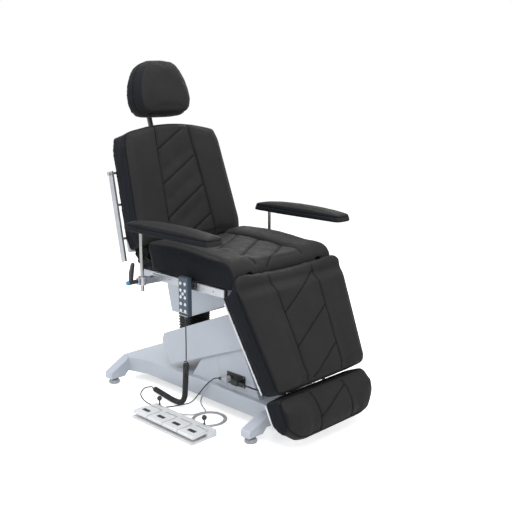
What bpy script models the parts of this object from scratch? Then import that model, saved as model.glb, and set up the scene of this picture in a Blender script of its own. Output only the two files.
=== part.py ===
"""Power procedure chair, built as separate pieces with real hinges and slides.

Metres. +X points to the foot end, +Y to the sitter's left, +Z up, the floor is z = 0.
"""
import math

import bmesh
import bpy
from mathutils import Vector

# Clearances and sheet
GAP = 0.0003
RUNNING = 0.0004
SHEET = 0.003

# The whole chair moves forward by this much, so that its bounding box is centred
CENTRE_SHIFT = 0.0138

# Base
BEAM_HALF = 0.163
BEAM_BOTTOM = 0.047
BEAM_TOP = 0.120
BEAM_WALL = 0.005
BASE_REAR = -0.589
CROSS_DEPTH = 0.052
CROSS_HALF = 0.298
FRONT_CROSS_X = 0.336
FLARE_LENGTH = 0.095
FLARE_HALF = 0.193
REAR_CROSS_TOP = 0.118
FRONT_CROSS_TOP = 0.097
SHOULDER_HALF = 0.187
LEG_END_TOP = 0.058
LEG_BOTTOM = 0.027
LEG_FOOT = 0.080
GLIDE_Y = 0.264
GLIDE_RADIUS = 0.026
GLIDE_HEIGHT = 0.018
GLIDE_STEM = 0.009
GLAND_AT = (-0.120, -0.085)
GLAND_RADIUS = 0.011
GLAND_DROP = 0.035

# Tower
TOWER_HALF = 0.140
TOWER_REAR = -0.134
TOWER_FRONT = 0.289
REAR_LEAN = 0.686
FRONT_LEAN = 0.522
SEAM_X = 0.065
SEAM_LEAN = 0.267
REAR_COVER_TOP = 0.312
FRONT_COVER_TOP = 0.335
NOTCH_HALF = 0.095
NOTCH_BOTTOM = 0.215
FRAME_PLATE = 0.010
FRAME_HALF = 0.112
FRAME_HEAD = 0.045
PANEL_X = (0.096, 0.207)
PANEL_Z = (0.148, 0.199)
PANEL_PLATE = 0.004
INLET_RISE = 0.006
SOCKET_RISE = 0.005
PLUG_FACE = -TOWER_HALF - GAP - PANEL_PLATE - INLET_RISE - GAP
SOCKET_FACE = -TOWER_HALF - GAP - PANEL_PLATE - SOCKET_RISE - GAP

# Lift
LIFT_X = 0.0985
LIFT_Z = 0.375
ARM_TILT = math.radians(22.5)
ARM_LENGTH = 0.405
ARM_HALF = 0.152
ARM_TOP = 0.068
ARM_BOTTOM = 0.078
ARM_FRONT = 0.150
ARM_TAIL = 0.047
SHAFT_RADIUS = 0.0125
BOSS_WALL = 0.006
BOSS_LENGTH = 0.012
LINK_DROP = 0.060
LINK_Y = -0.050
LINK_WIDTH = 0.022
LINK_RADIUS = 0.016
LINK_PIN = 0.008
ACTUATOR_Y = 0.045
ACTUATOR_FOOT = (0.225, 0.175)
ACTUATOR_LUG = (-0.140, -0.030)
ACTUATOR_TUBE = 0.024
ACTUATOR_ROD = 0.011
ACTUATOR_EYE = 0.015
LUG_PLATE = 0.008

# Carriage and seat frame
YOKE_X = 0.036
YOKE_HALF = 0.040
YOKE_TOP = 0.590
HOUSING_HALF = 0.100
HOUSING_TOP = 0.562
FRAME_TOP = 0.600
FRAME_REAR = -0.316
FRAME_FRONT = 0.215
FRAME_HALF_WIDTH = 0.262
FRAME_FLANGE = 0.036
BOARD_REAR = -0.212
BELLOWS_HALF_X = 0.042
BELLOWS_HALF_Y = 0.060
BELLOWS_RIBS = 7
BELLOWS_WALL = 0.004
HOUSING_REAR = (-0.346, -0.319)
HOUSING_FLOOR = 0.372
HOUSING_BEND = -0.185
HOUSING_FRONT = 0.150
RAIL_REAR = -0.190
RAIL_FRONT = 0.250
RAIL_Z = (0.577, 0.611)
RAIL_DEPTH = 0.014
RAIL_STANDOFF = 0.024
RAIL_Y = FRAME_HALF_WIDTH + RAIL_STANDOFF + RAIL_DEPTH

# Seat cushion and legrest hinge
SEAT_HALF = 0.300
SEAT_BOTTOM = 0.6125
LEG_HINGE = (0.235, 0.655)
NOSE_SIDE = 0.070
NOSE_CENTRE = 0.052
BOLSTER_RISE = 0.010
LEG_LUG_Y = 0.215
LEG_SHAFT = 0.008
LUG_RADIUS = 0.014
SLOT_HALF = 0.016
SEAT_CHEVRONS = [((0.035, -0.145), (-0.140, 0.145)), ((0.175, -0.145), (0.000, 0.145)),
                 ((0.300, -0.130), (0.140, 0.145))]

# Backrest
BACK_HINGE = (-0.289, 0.650)
BACK_TILT = math.radians(17.0)
BACK_FRONT = 0.054
BACK_REAR = -0.058
BACK_LOW = 0.040
BACK_TOP = 0.590
BACK_HALF_TOP = 0.276
BACK_HALF_LOW = 0.314
BACK_PANEL = 0.012
BACK_LUG_Y = 0.225
BACK_RAIL_LOW = 0.005
BACK_RAIL_TOP = 0.405
HEAD_POST_OUT = -0.104
HEAD_POST_RADIUS = 0.012
HEAD_TILT_AT = (-0.090, 0.758)
HEAD_TILT = math.radians(3.5)
HEAD_SIZE = (0.122, 0.308, 0.252)
HEAD_DROP = 0.123
HEAD_OUTLINE = [(0.0, 0.58), (0.045, 0.78), (0.12, 0.92), (0.27, 1.0), (0.45, 0.975), (0.62, 0.90),
                (0.78, 0.765), (0.89, 0.63), (0.96, 0.45), (1.0, 0.30)]

# Legrest and footrest
LEG_TILT = math.radians(25.0)
LEG_REAR = -0.007
LEG_FRONT = 0.098
LEG_END = 0.496
LEG_HALF_TOP = 0.312
LEG_HALF_LOW = 0.263
LEG_BOARD = 0.012
FOOT_START = 0.512
FOOT_END = 0.694
FOOT_HALF = 0.266
FOOT_FRONT = 0.097
ROD_Y = 0.110
ROD_RADIUS = 0.008
ROD_LENGTH = 0.300
LEG_CHEVRONS = [((0.180, -0.130), (0.070, 0.140)), ((0.300, -0.125), (0.190, 0.130)),
                ((0.420, -0.120), (0.310, 0.125))]

# Armrests
POST_X = -0.161
POST_OUT = 0.083
POST_Y = RAIL_Y + POST_OUT
POST_RADIUS = 0.008
POST_LOW = 0.548
PAD_Z = 0.803
PAD_THICK = 0.052
PAD_REAR = -0.243
PAD_FRONT = 0.304
PAD_HALF = 0.048
CLAMP_Z = (0.578, 0.610)
CLAMP_OUTER = 0.017
CLAMP_EAR = 0.026
LEVER_RADIUS = 0.009
LEVER_HUB = 0.051
LEVER_REACH = POST_Y + CLAMP_EAR + LEVER_HUB
LEVER_TOP = 0.676

# Handset
HANDSET_X = (0.017, 0.074)
HANDSET_Z = (0.470, 0.634)
HANDSET_DEPTH = 0.024
HANDSET_HOOK = 0.0125
HANDSET_Y = -RAIL_Y - HANDSET_HOOK

# Foot control
FOOT_CONTROL_X = (-0.168, 0.226)
FOOT_CONTROL_Y = (-0.457, -0.322)
FOOT_CONTROL_HEIGHT = 0.030
PEDAL_COUNT = 4
PEDAL_SIZE = (0.093, 0.088)
PEDAL_TAIL = 0.072
PEDAL_RISE = 0.012
PEDAL_SIDE = 0.002
BALL_RADIUS = 0.011
BALL_FOOT = 0.005
BALL_POST = 0.008
PEDAL_FRONT = FOOT_CONTROL_Y[0] + 0.006
PEDAL_HINGE_Y = PEDAL_FRONT + PEDAL_SIZE[1]
PEDAL_FLOOR = 0.009
PEDAL_HINGE_Z = FOOT_CONTROL_HEIGHT - 0.006
BALL_X = (-0.119, 0.172)
FOOT_GLAND_X = -0.030

# Cords
HANDSET_CORD = 0.005
CURL_OUTER = 0.0135
CURL_TURNS = 17
FOOT_CABLE = 0.005
FOOT_COIL_RADIUS = 0.078
FOOT_COIL_TURNS = 3
FOOT_COIL_AT = (0.083, -0.238)
MAINS_CORD = 0.007
MAINS_COIL_RADIUS = 0.053
MAINS_COIL_TURNS = 3
MAINS_COIL_AT = (0.205, 0.262)
WALL_PLUG_AT = (0.0752, 0.215, 0.013)
HANDSET_ROUTE_TOP = [(0.0455, -0.3245, 0.4577), (0.0455, -0.3245, 0.430), (0.044, -0.3235, 0.370),
                     (0.040, -0.3205, 0.310), (0.034, -0.3165, 0.282)]
CURL_ROUTE = [(0.034, -0.3165, 0.2815), (0.020, -0.3075, 0.220), (-0.006, -0.2905, 0.140),
              (-0.040, -0.2680, 0.075), (-0.095, -0.2440, 0.030), (-0.165, -0.2280, 0.0145),
              (-0.240, -0.2170, 0.0142), (-0.310, -0.2060, 0.0142), (-0.352, -0.1990, 0.0142)]
HANDSET_ROUTE_LOW = [(-0.3529, -0.19885, 0.0142), (-0.3647, -0.1972, 0.0138), (-0.389, -0.218, 0.006),
                     (-0.352, -0.268, 0.0032), (-0.292, -0.300, 0.0032), (-0.225, -0.3145, 0.0032),
                     (-0.165, -0.3050, 0.0032), (-0.135, -0.262, 0.0032), (-0.118, -0.218, 0.0036),
                     (-0.088, -0.189, 0.016), (-0.050, -0.180, 0.060), (-0.008, -0.1725, 0.112),
                     (0.036, -0.1650, 0.1520), (0.0675, SOCKET_FACE - 0.013, 0.1627)]
FOOT_ROUTE_IN = [(-0.030, -0.3094, 0.012), (-0.030, -0.3010, 0.0118), (-0.022, -0.280, 0.0045),
                 (-0.004, -0.262, 0.0031), (0.0038, -0.249, 0.0030)]
FOOT_ROUTE_OUT = [(0.0235, -0.229, 0.0045), (0.0265, -0.219, 0.0085), (0.0255, -0.209, 0.0092),
                  (0.017, -0.199, 0.0092), (0.004, -0.190, 0.0092), (-0.016, -0.180, 0.0060),
                  (-0.036, -0.168, 0.0036), (-0.070, -0.148, 0.0032), (-0.100, -0.122, 0.0045),
                  (-0.116, -0.096, 0.018), (-0.120, -0.0852, 0.050), (-0.120, -0.085, 0.0797)]
MAINS_ROUTE_IN = [(0.2263, PLUG_FACE - 0.014, 0.1735), (0.250, PLUG_FACE - 0.014, 0.1735),
                  (0.285, -0.160, 0.171), (0.314, -0.126, 0.158), (0.322, -0.080, 0.137),
                  (0.322, -0.030, 0.1255), (0.320, 0.040, 0.1245), (0.316, 0.110, 0.1265),
                  (0.312, 0.160, 0.1285), (0.305, 0.186, 0.108), (0.296, 0.197, 0.060),
                  (0.282, 0.201, 0.020), (0.262, 0.203, 0.0060), (0.240, 0.2045, 0.0040)]
MAINS_ROUTE_OUT = [(0.184, 0.2098, 0.0115), (0.166, 0.2110, 0.0105), (0.148, 0.2125, 0.0085),
                   (0.132, 0.2140, 0.0100), (0.1159, 0.2150, 0.0130)]

LIFT_AT = Vector((LIFT_X, 0.0, LIFT_Z))
CARRY_AT = LIFT_AT - ARM_LENGTH * Vector((math.cos(ARM_TILT), 0.0, math.sin(ARM_TILT)))


# Scene and materials

def clear_scene():
    for item in list(bpy.data.objects):
        bpy.data.objects.remove(item, do_unlink=True)


def material(name, colour, roughness, metallic=0.0):
    made = bpy.data.materials.new(name)
    made.use_nodes = True
    shader = made.node_tree.nodes["Principled BSDF"]
    shader.inputs["Base Color"].default_value = (*colour, 1.0)
    shader.inputs["Roughness"].default_value = roughness
    shader.inputs["Metallic"].default_value = metallic
    return made


def pivot(name, location, tilt=0.0, parent=None):
    empty = bpy.data.objects.new(name, None)
    bpy.context.collection.objects.link(empty)
    empty.parent = parent
    empty.location = location
    empty.rotation_euler = (0.0, tilt, 0.0)
    return empty


def add(name, shape, finish, holder=None):
    """Turns a bmesh in the holder's frame into a named object."""
    bmesh.ops.remove_doubles(shape, verts=shape.verts, dist=0.00001)
    bmesh.ops.recalc_face_normals(shape, faces=shape.faces)
    mesh = bpy.data.meshes.new(name)
    shape.to_mesh(mesh)
    shape.free()
    mesh.materials.append(finish)
    mesh.shade_smooth()
    mesh.set_sharp_from_angle(angle=math.radians(35.0))
    made = bpy.data.objects.new(name, mesh)
    bpy.context.collection.objects.link(made)
    made.parent = holder
    return made


# Shape tools

def rounded(corners, steps=3):
    """Outline through (u, v, radius) corners, each radius as an arc."""
    outline = []
    count = len(corners)
    for index, (u, v, radius) in enumerate(corners):
        here = Vector((u, v))
        before = (Vector(corners[index - 1][:2]) - here).normalized()
        after = (Vector(corners[(index + 1) % count][:2]) - here).normalized()
        if radius <= 0.0:
            outline.append((u, v))
            continue
        half = before.angle(after) / 2.0
        middle = here + (before + after).normalized() * (radius / math.sin(half))
        first = here + before * (radius / math.tan(half)) - middle
        last = here + after * (radius / math.tan(half)) - middle
        turn = first.angle_signed(last)
        for step in range(steps + 1):
            angle = -turn * step / steps
            spoke = Vector((first.x * math.cos(angle) - first.y * math.sin(angle),
                            first.x * math.sin(angle) + first.y * math.cos(angle)))
            outline.append(tuple(middle + spoke))
    return outline


def prism(outline, axis, low, high):
    """Solid with a (y, z), (x, z) or (x, y) outline, drawn out along axis X, Y or Z."""
    shape = bmesh.new()

    def place(u, v, w):
        return {"X": (w, u, v), "Y": (u, w, v), "Z": (u, v, w)}[axis]

    near = [shape.verts.new(place(u, v, low)) for u, v in outline]
    far = [shape.verts.new(place(u, v, high)) for u, v in outline]
    shape.faces.new(near)
    shape.faces.new(list(reversed(far)))
    for index in range(len(outline)):
        following = (index + 1) % len(outline)
        shape.faces.new((near[following], near[index], far[index], far[following]))
    bmesh.ops.recalc_face_normals(shape, faces=shape.faces)
    return shape


def box(x, y, z, bevel=0.0, steps=1):
    shape = prism([(x[0], y[0]), (x[1], y[0]), (x[1], y[1]), (x[0], y[1])], "Z", z[0], z[1])
    if bevel > 0.0:
        soften(shape, bevel, steps)
    return shape


def soften(shape, width, steps=1, sharpest=30.0):
    edges = [edge for edge in shape.edges
             if edge.calc_face_angle(0.0) > math.radians(sharpest)]
    bmesh.ops.bevel(shape, geom=edges, offset=width, segments=steps, affect="EDGES", profile=0.6)


def rod(start, end, radius, sides=16, end_radius=None):
    start = Vector(start)
    along = Vector(end) - start
    shape = bmesh.new()
    bmesh.ops.create_cone(shape, cap_ends=True, segments=sides, radius1=radius,
                          radius2=radius if end_radius is None else end_radius,
                          depth=along.length)
    turn = Vector((0.0, 0.0, 1.0)).rotation_difference(along.normalized())
    bmesh.ops.rotate(shape, verts=shape.verts, matrix=turn.to_matrix())
    bmesh.ops.translate(shape, verts=shape.verts, vec=start + along / 2.0)
    return shape


def turned(profile, centre, sides=14):
    """Solid of revolution about a vertical axis from (radius, height) points, top to bottom."""
    shape = bmesh.new()
    points = [(0.0, profile[0][1])] + list(profile) + [(0.0, profile[-1][1])]
    verts = [shape.verts.new((r, 0.0, h)) for r, h in points]
    edges = [shape.edges.new(pair) for pair in zip(verts, verts[1:])]
    bmesh.ops.spin(shape, geom=verts + edges, cent=(0.0, 0.0, 0.0), axis=(0.0, 0.0, 1.0),
                   angle=2.0 * math.pi, steps=sides, use_merge=True)
    bmesh.ops.remove_doubles(shape, verts=shape.verts, dist=0.00001)
    bmesh.ops.recalc_face_normals(shape, faces=shape.faces)
    bmesh.ops.translate(shape, verts=shape.verts, vec=centre)
    return shape


def helper(shape):
    mesh = bpy.data.meshes.new("helper")
    shape.to_mesh(mesh)
    shape.free()
    made = bpy.data.objects.new("helper", mesh)
    bpy.context.collection.objects.link(made)
    return made


def combine(shape, others, operation):
    """Boolean of a shape with each of the others, returned as a new bmesh."""
    body = helper(shape)
    tools = [helper(other) for other in others]
    for tool in tools:
        change = body.modifiers.new("change", "BOOLEAN")
        change.operation = operation
        change.solver = "EXACT"
        change.object = tool
    result = body.evaluated_get(bpy.context.evaluated_depsgraph_get())
    made = bmesh.new()
    made.from_mesh(result.to_mesh())
    result.to_mesh_clear()
    for item in [body] + tools:
        mesh = item.data
        bpy.data.objects.remove(item, do_unlink=True)
        bpy.data.meshes.remove(mesh)
    return made


def union(shape, *others):
    return combine(shape, others, "UNION")


def cut(shape, *others):
    return combine(shape, others, "DIFFERENCE")


def mirrored(build, side):
    """Builds a piece on the right (-Y) side and mirrors it for the left one."""
    shape = build()
    if side > 0:
        bmesh.ops.scale(shape, vec=(1.0, -1.0, 1.0), verts=shape.verts)
        bmesh.ops.reverse_faces(shape, faces=shape.faces)
    return shape


def smooth_step(value):
    value = min(max(value, 0.0), 1.0)
    return value * value * (3.0 - 2.0 * value)


# Padded shapes

def groove(point, seams, depth, spread):
    """Depth of the nearest sewn seam at a point of the cushion's plane."""
    deepest = 0.0
    here = Vector(point)
    for start, end in seams:
        start = Vector(start)
        along = Vector(end) - start
        share = min(max((here - start).dot(along) / along.length_squared, 0.0), 1.0)
        away = (here - start - along * share).length
        deepest = max(deepest, depth * math.exp(-(away / spread) ** 2))
    return deepest


def stations(low, high, count, marks=(), reach=0.012):
    """Even stations from low to high, with extra ones on and beside each mark."""
    found = [low + (high - low) * step / count for step in range(count + 1)]
    for mark in marks:
        found = [value for value in found if abs(value - mark) > reach * 1.5]
        found += [mark - reach, mark, mark + reach]
    return sorted(found)


def cushion(lengths, half_width, thick, crown, corner, columns, seams=(), depth=0.006,
            waist=0.006, arch=0.0, edge=0.014, fullness=(6, 8), dish=0.0):
    """Closed pad in a (length, width, height) frame: crowned top, drawn-in sides, flat base.

    half_width gives the half width at a length; arch bows the far end outwards; fullness sets how
    flat the crown is across and along; dish draws the middle panel in.
    """
    across, along = fullness
    shape = bmesh.new()
    first = lengths[0]
    last = lengths[-1]

    def spot(length, share, inset=0.0):
        nearest = min(length - first, last - length)
        wide = half_width(length) - inset
        if nearest < corner:
            wide -= corner - math.sqrt(max(corner ** 2 - (corner - nearest) ** 2, 0.0))
        bow = arch * (1.0 - share ** 2) * smooth_step((length - first) / (last - first))
        end_inset = inset * (1.0 if length == first else -1.0 if length == last else 0.0)
        return length + bow + end_inset, share * wide

    def top_height(length, share):
        place = abs(2.0 * (length - first) / (last - first) - 1.0)
        middle = (1.0 - abs(share) ** across) * (1.0 - place ** along)
        flat = spot(length, share)
        drawn = dish * (1.0 - smooth_step((abs(share) - 0.36) / 0.14)) * (1.0 - place ** 4)
        seam = groove(flat, seams, depth, 0.011) * min(1.0, middle * 3.0)
        return thick + crown * middle - drawn - seam

    top = []
    for length in lengths:
        row = []
        for share in columns:
            rim = length in (first, last) or abs(share) == 1.0
            x, y = spot(length, share, edge * 0.35 if rim else 0.0)
            height = top_height(length, share) - (edge * 0.45 if rim else 0.0)
            row.append(shape.verts.new((x, y, height)))
        top.append(row)
    for low, high in zip(top, top[1:]):
        for left in range(len(columns) - 1):
            shape.faces.new((low[left], low[left + 1], high[left + 1], high[left]))
    rim = [(0, i) for i in range(len(columns))]
    rim += [(j, len(columns) - 1) for j in range(1, len(lengths))]
    rim += [(len(lengths) - 1, i) for i in range(len(columns) - 2, -1, -1)]
    rim += [(j, 0) for j in range(len(lengths) - 2, 0, -1)]
    above = [top[j][i] for j, i in rim]
    for height, inset in ((thick - edge * 1.2, 0.0), (thick * 0.45, waist), (0.0, waist * 0.5)):
        ring = []
        for j, i in rim:
            x, y = spot(lengths[j], columns[i], inset)
            ring.append(shape.verts.new((x, y, height)))
        for k in range(len(rim)):
            following = (k + 1) % len(rim)
            shape.faces.new((above[k], above[following], ring[following], ring[k]))
        above = ring
    shape.faces.new(above)
    bmesh.ops.recalc_face_normals(shape, faces=shape.faces)
    return shape


def loft(profiles):
    """Solid through a row of closed outlines with equal point counts."""
    shape = bmesh.new()
    rings = [[shape.verts.new(point) for point in profile] for profile in profiles]
    for near, far in zip(rings, rings[1:]):
        for index in range(len(near)):
            following = (index + 1) % len(near)
            shape.faces.new((near[index], near[following], far[following], far[index]))
    shape.faces.new(list(reversed(rings[0])))
    shape.faces.new(rings[-1])
    bmesh.ops.recalc_face_normals(shape, faces=shape.faces)
    return shape


# Base

def base_frame():
    beam_rear = BASE_REAR + CROSS_DEPTH / 2.0
    flare_rear = BASE_REAR + CROSS_DEPTH
    flare_front = flare_rear + FLARE_LENGTH
    beam_front = FRONT_CROSS_X + CROSS_DEPTH / 3.0
    plan = [(beam_rear, -FLARE_HALF), (flare_rear, -FLARE_HALF), (flare_front, -BEAM_HALF),
            (beam_front, -BEAM_HALF), (beam_front, BEAM_HALF), (flare_front, BEAM_HALF),
            (flare_rear, FLARE_HALF), (beam_rear, FLARE_HALF)]
    beam = prism(plan, "Z", BEAM_BOTTOM, BEAM_TOP)
    soften(beam, 0.004, 1)
    hollow = box((flare_rear + BEAM_WALL, FRONT_CROSS_X - BEAM_WALL),
                 (-BEAM_HALF + BEAM_WALL, BEAM_HALF - BEAM_WALL),
                 (BEAM_BOTTOM - 0.01, BEAM_TOP - BEAM_WALL))
    crosses = []
    for rear, top in ((BASE_REAR, REAR_CROSS_TOP), (FRONT_CROSS_X, FRONT_CROSS_TOP)):
        foot = CROSS_HALF - LEG_FOOT
        side = [(CROSS_HALF, LEG_BOTTOM, 0.0), (CROSS_HALF, LEG_END_TOP, 0.012),
                (SHOULDER_HALF, top, 0.040)]
        half = [(-foot + 0.02, BEAM_BOTTOM + 0.001, 0.0), (-foot, LEG_BOTTOM, 0.0)]
        outline = [(-u, v, r) for u, v, r in side]
        outline += [(u, v, r) for u, v, r in reversed(side)]
        outline += [(-u, v, r) for u, v, r in reversed(half)] + half
        cross = prism(rounded(outline, 2), "X", rear, rear + CROSS_DEPTH)
        soften(cross, 0.003, 1, 60.0)
        crosses.append(cross)
    frame = union(cut(beam, hollow), *crosses)
    gland = rod((*GLAND_AT, BEAM_TOP - BEAM_WALL / 2.0),
                (*GLAND_AT, BEAM_TOP - BEAM_WALL - GLAND_DROP), GLAND_RADIUS, 12)
    return union(frame, gland)


def glide(x, y):
    profile = [(GLIDE_STEM, LEG_BOTTOM - GAP), (GLIDE_STEM, GLIDE_HEIGHT),
               (GLIDE_RADIUS * 0.8, GLIDE_HEIGHT), (GLIDE_RADIUS, GLIDE_HEIGHT * 0.6),
               (GLIDE_RADIUS, GLIDE_HEIGHT * 0.15), (GLIDE_RADIUS * 0.93, 0.0)]
    return turned(profile, (x, y, 0.0))


def make_base(paint, pale):
    add("base_frame", base_frame(), paint)
    for end, start in (("rear", BASE_REAR), ("front", FRONT_CROSS_X)):
        for side, sign in (("right", -1.0), ("left", 1.0)):
            centre = start + CROSS_DEPTH / 2.0
            add(f"foot_glide_{end}_{side}", glide(centre, sign * GLIDE_Y), pale)


# Tower

def cover_lines(height):
    """X of the rear slope, the seam and the front slope of the tower at a height."""
    rise = height - BEAM_TOP
    return TOWER_REAR + REAR_LEAN * rise, SEAM_X - SEAM_LEAN * rise, TOWER_FRONT - FRONT_LEAN * rise


def tower_rear_cover():
    low = BEAM_TOP + GAP
    rear_low, seam_low, _ = cover_lines(low)
    rear_top, seam_top, _ = cover_lines(REAR_COVER_TOP)
    outer = prism([(rear_low, low), (seam_low - GAP, low), (seam_top - GAP, REAR_COVER_TOP),
                   (rear_top, REAR_COVER_TOP)], "Y", -TOWER_HALF, TOWER_HALF)
    wall = SHEET * math.hypot(1.0, REAR_LEAN)
    over = 0.05
    inner = prism([(rear_low + wall - over * REAR_LEAN, low - over), (seam_low + 0.2, low - over),
                   (seam_low + 0.2, REAR_COVER_TOP + over),
                   (rear_top + wall + over * REAR_LEAN, REAR_COVER_TOP + over)],
                  "Y", -TOWER_HALF + SHEET, TOWER_HALF - SHEET)
    notch = box((TOWER_REAR - 0.05, SEAM_X), (-NOTCH_HALF, NOTCH_HALF),
                (NOTCH_BOTTOM, REAR_COVER_TOP + over))
    return cut(outer, inner, notch)


def tower_front_cover():
    low = BEAM_TOP + GAP
    _, seam_low, front_low = cover_lines(low)
    _, seam_top, front_top = cover_lines(FRONT_COVER_TOP)
    outer = prism([(seam_low + GAP, low), (front_low, low), (front_top, FRONT_COVER_TOP),
                   (seam_top + GAP, FRONT_COVER_TOP)], "Y", -TOWER_HALF, TOWER_HALF)
    wall = SHEET * math.hypot(1.0, FRONT_LEAN)
    over = 0.05
    inner = prism([(seam_low - 0.2, low - over), (front_low - wall + over * FRONT_LEAN, low - over),
                   (front_top - wall - over * FRONT_LEAN, FRONT_COVER_TOP + over),
                   (seam_top - 0.2, FRONT_COVER_TOP + over)],
                  "Y", -TOWER_HALF + SHEET, TOWER_HALF - SHEET)
    return cut(outer, inner)


def tower_frame():
    low = BEAM_TOP + GAP
    inset = 0.035
    rear_low, _, front_low = cover_lines(low)
    outline = rounded([(rear_low + inset, low, 0.0), (front_low - inset, low, 0.0),
                       (LIFT_X + FRAME_HEAD, LIFT_Z, 0.0),
                       (LIFT_X + FRAME_HEAD, LIFT_Z + FRAME_HEAD, FRAME_HEAD * 0.95),
                       (LIFT_X - FRAME_HEAD, LIFT_Z + FRAME_HEAD, FRAME_HEAD * 0.95),
                       (LIFT_X - FRAME_HEAD, LIFT_Z, 0.0)], 5)
    plates = [prism(outline, "Y", sign * FRAME_HALF - FRAME_PLATE / 2.0,
                    sign * FRAME_HALF + FRAME_PLATE / 2.0) for sign in (-1.0, 1.0)]
    floor = box((rear_low + inset, front_low - inset), (-FRAME_HALF, FRAME_HALF),
                (low, low + FRAME_PLATE))
    link_z = LIFT_Z - LINK_DROP
    pin_end = LINK_Y + LINK_WIDTH / 2.0 + 0.004
    link_pin = rod((LIFT_X, -FRAME_HALF, link_z), (LIFT_X, pin_end, link_z), LINK_PIN, 12)
    foot_pin = rod((ACTUATOR_FOOT[0], -FRAME_HALF, ACTUATOR_FOOT[1]),
                   (ACTUATOR_FOOT[0], FRAME_HALF, ACTUATOR_FOOT[1]), LINK_PIN, 12)
    foot_lugs = [prism(rounded([(ACTUATOR_FOOT[0] - 0.025, low, 0.0),
                                (ACTUATOR_FOOT[0] + 0.025, low, 0.0),
                                (ACTUATOR_FOOT[0] + 0.016, ACTUATOR_FOOT[1] + 0.016, 0.012),
                                (ACTUATOR_FOOT[0] - 0.016, ACTUATOR_FOOT[1] + 0.016, 0.012)]),
                       "Y", sign * FRAME_HALF - 0.02, sign * FRAME_HALF + 0.004)
                 for sign in (-1.0, 1.0)]
    frame = union(plates[0], plates[1], floor, link_pin, foot_pin, *foot_lugs)
    bore = rod((LIFT_X, -0.2, LIFT_Z), (LIFT_X, 0.2, LIFT_Z), SHAFT_RADIUS + RUNNING, 20)
    return cut(frame, bore)


def make_tower(paint, dark, steel):
    add("tower_frame", tower_frame(), dark)
    add("tower_rear_cover", tower_rear_cover(), paint)
    add("tower_front_cover", tower_front_cover(), paint)
    reach = ARM_HALF - SHEET - GAP
    shaft = rod((LIFT_X, -reach, LIFT_Z), (LIFT_X, reach, LIFT_Z), SHAFT_RADIUS, 20)
    add("lift_shaft", shaft, steel)


# Lift arm

def arm_outline(inset, below):
    """Side outline of the arm in its own frame, drawn in by inset and let out below."""
    tail = -ARM_LENGTH - ARM_TAIL + inset
    top = ARM_TOP - inset
    low = -ARM_BOTTOM - below
    front = ARM_FRONT - inset
    return rounded([(tail + 0.022, low, 0.0 if below else 0.010), (tail, 0.005, 0.030),
                    (tail + 0.008, 0.045, 0.008), (tail + 0.030, top, 0.006),
                    (front, top, 0.045 - inset), (front, -0.030, 0.0),
                    (front, low - 0.010, 0.0 if below else 0.020)])


def arm_shell():
    outer = prism(arm_outline(0.0, 0.0), "Y", -ARM_HALF, ARM_HALF)
    inner = prism(arm_outline(SHEET, 0.05), "Y", -ARM_HALF + SHEET, ARM_HALF - SHEET)
    mouth = box((ARM_FRONT - 0.03, ARM_FRONT + 0.03), (-ARM_HALF + SHEET, ARM_HALF - SHEET),
                (-0.2, -0.015))
    tail = -ARM_LENGTH - ARM_TAIL
    slot = box((tail - 0.02, -ARM_LENGTH + 0.064), (-YOKE_HALF - 0.006, YOKE_HALF + 0.006),
               (-0.010, ARM_TOP + 0.05))
    link_mouth = box((tail - 0.02, tail + 0.060), (LINK_Y - LINK_WIDTH, -LINK_Y + LINK_WIDTH),
                     (-0.2, -0.005))
    shell = cut(outer, inner, mouth, slot, link_mouth)
    reach = ARM_HALF - SHEET / 2.0
    bosses = []
    for x in (0.0, -ARM_LENGTH):
        for sign in (-1.0, 1.0):
            bosses.append(rod((x, sign * reach, 0.0), (x, sign * (reach - BOSS_LENGTH), 0.0),
                              SHAFT_RADIUS + BOSS_WALL, 20))
    lug = prism(rounded([(ACTUATOR_LUG[0] - 0.03, ARM_TOP - SHEET / 2.0, 0.0),
                         (ACTUATOR_LUG[0] - 0.014, ACTUATOR_LUG[1] - 0.014, 0.012),
                         (ACTUATOR_LUG[0] + 0.014, ACTUATOR_LUG[1] - 0.014, 0.012),
                         (ACTUATOR_LUG[0] + 0.03, ARM_TOP - SHEET / 2.0, 0.0)]),
                "Y", ACTUATOR_Y + ACTUATOR_ROD + GAP, ACTUATOR_Y + ACTUATOR_ROD + GAP + LUG_PLATE)
    shell = union(shell, lug, *bosses)
    inside = ARM_HALF - SHEET
    bores = [rod((x, -inside, 0.0), (x, inside, 0.0), SHAFT_RADIUS + RUNNING, 20)
             for x in (0.0, -ARM_LENGTH)]
    return cut(shell, *bores)


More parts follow.
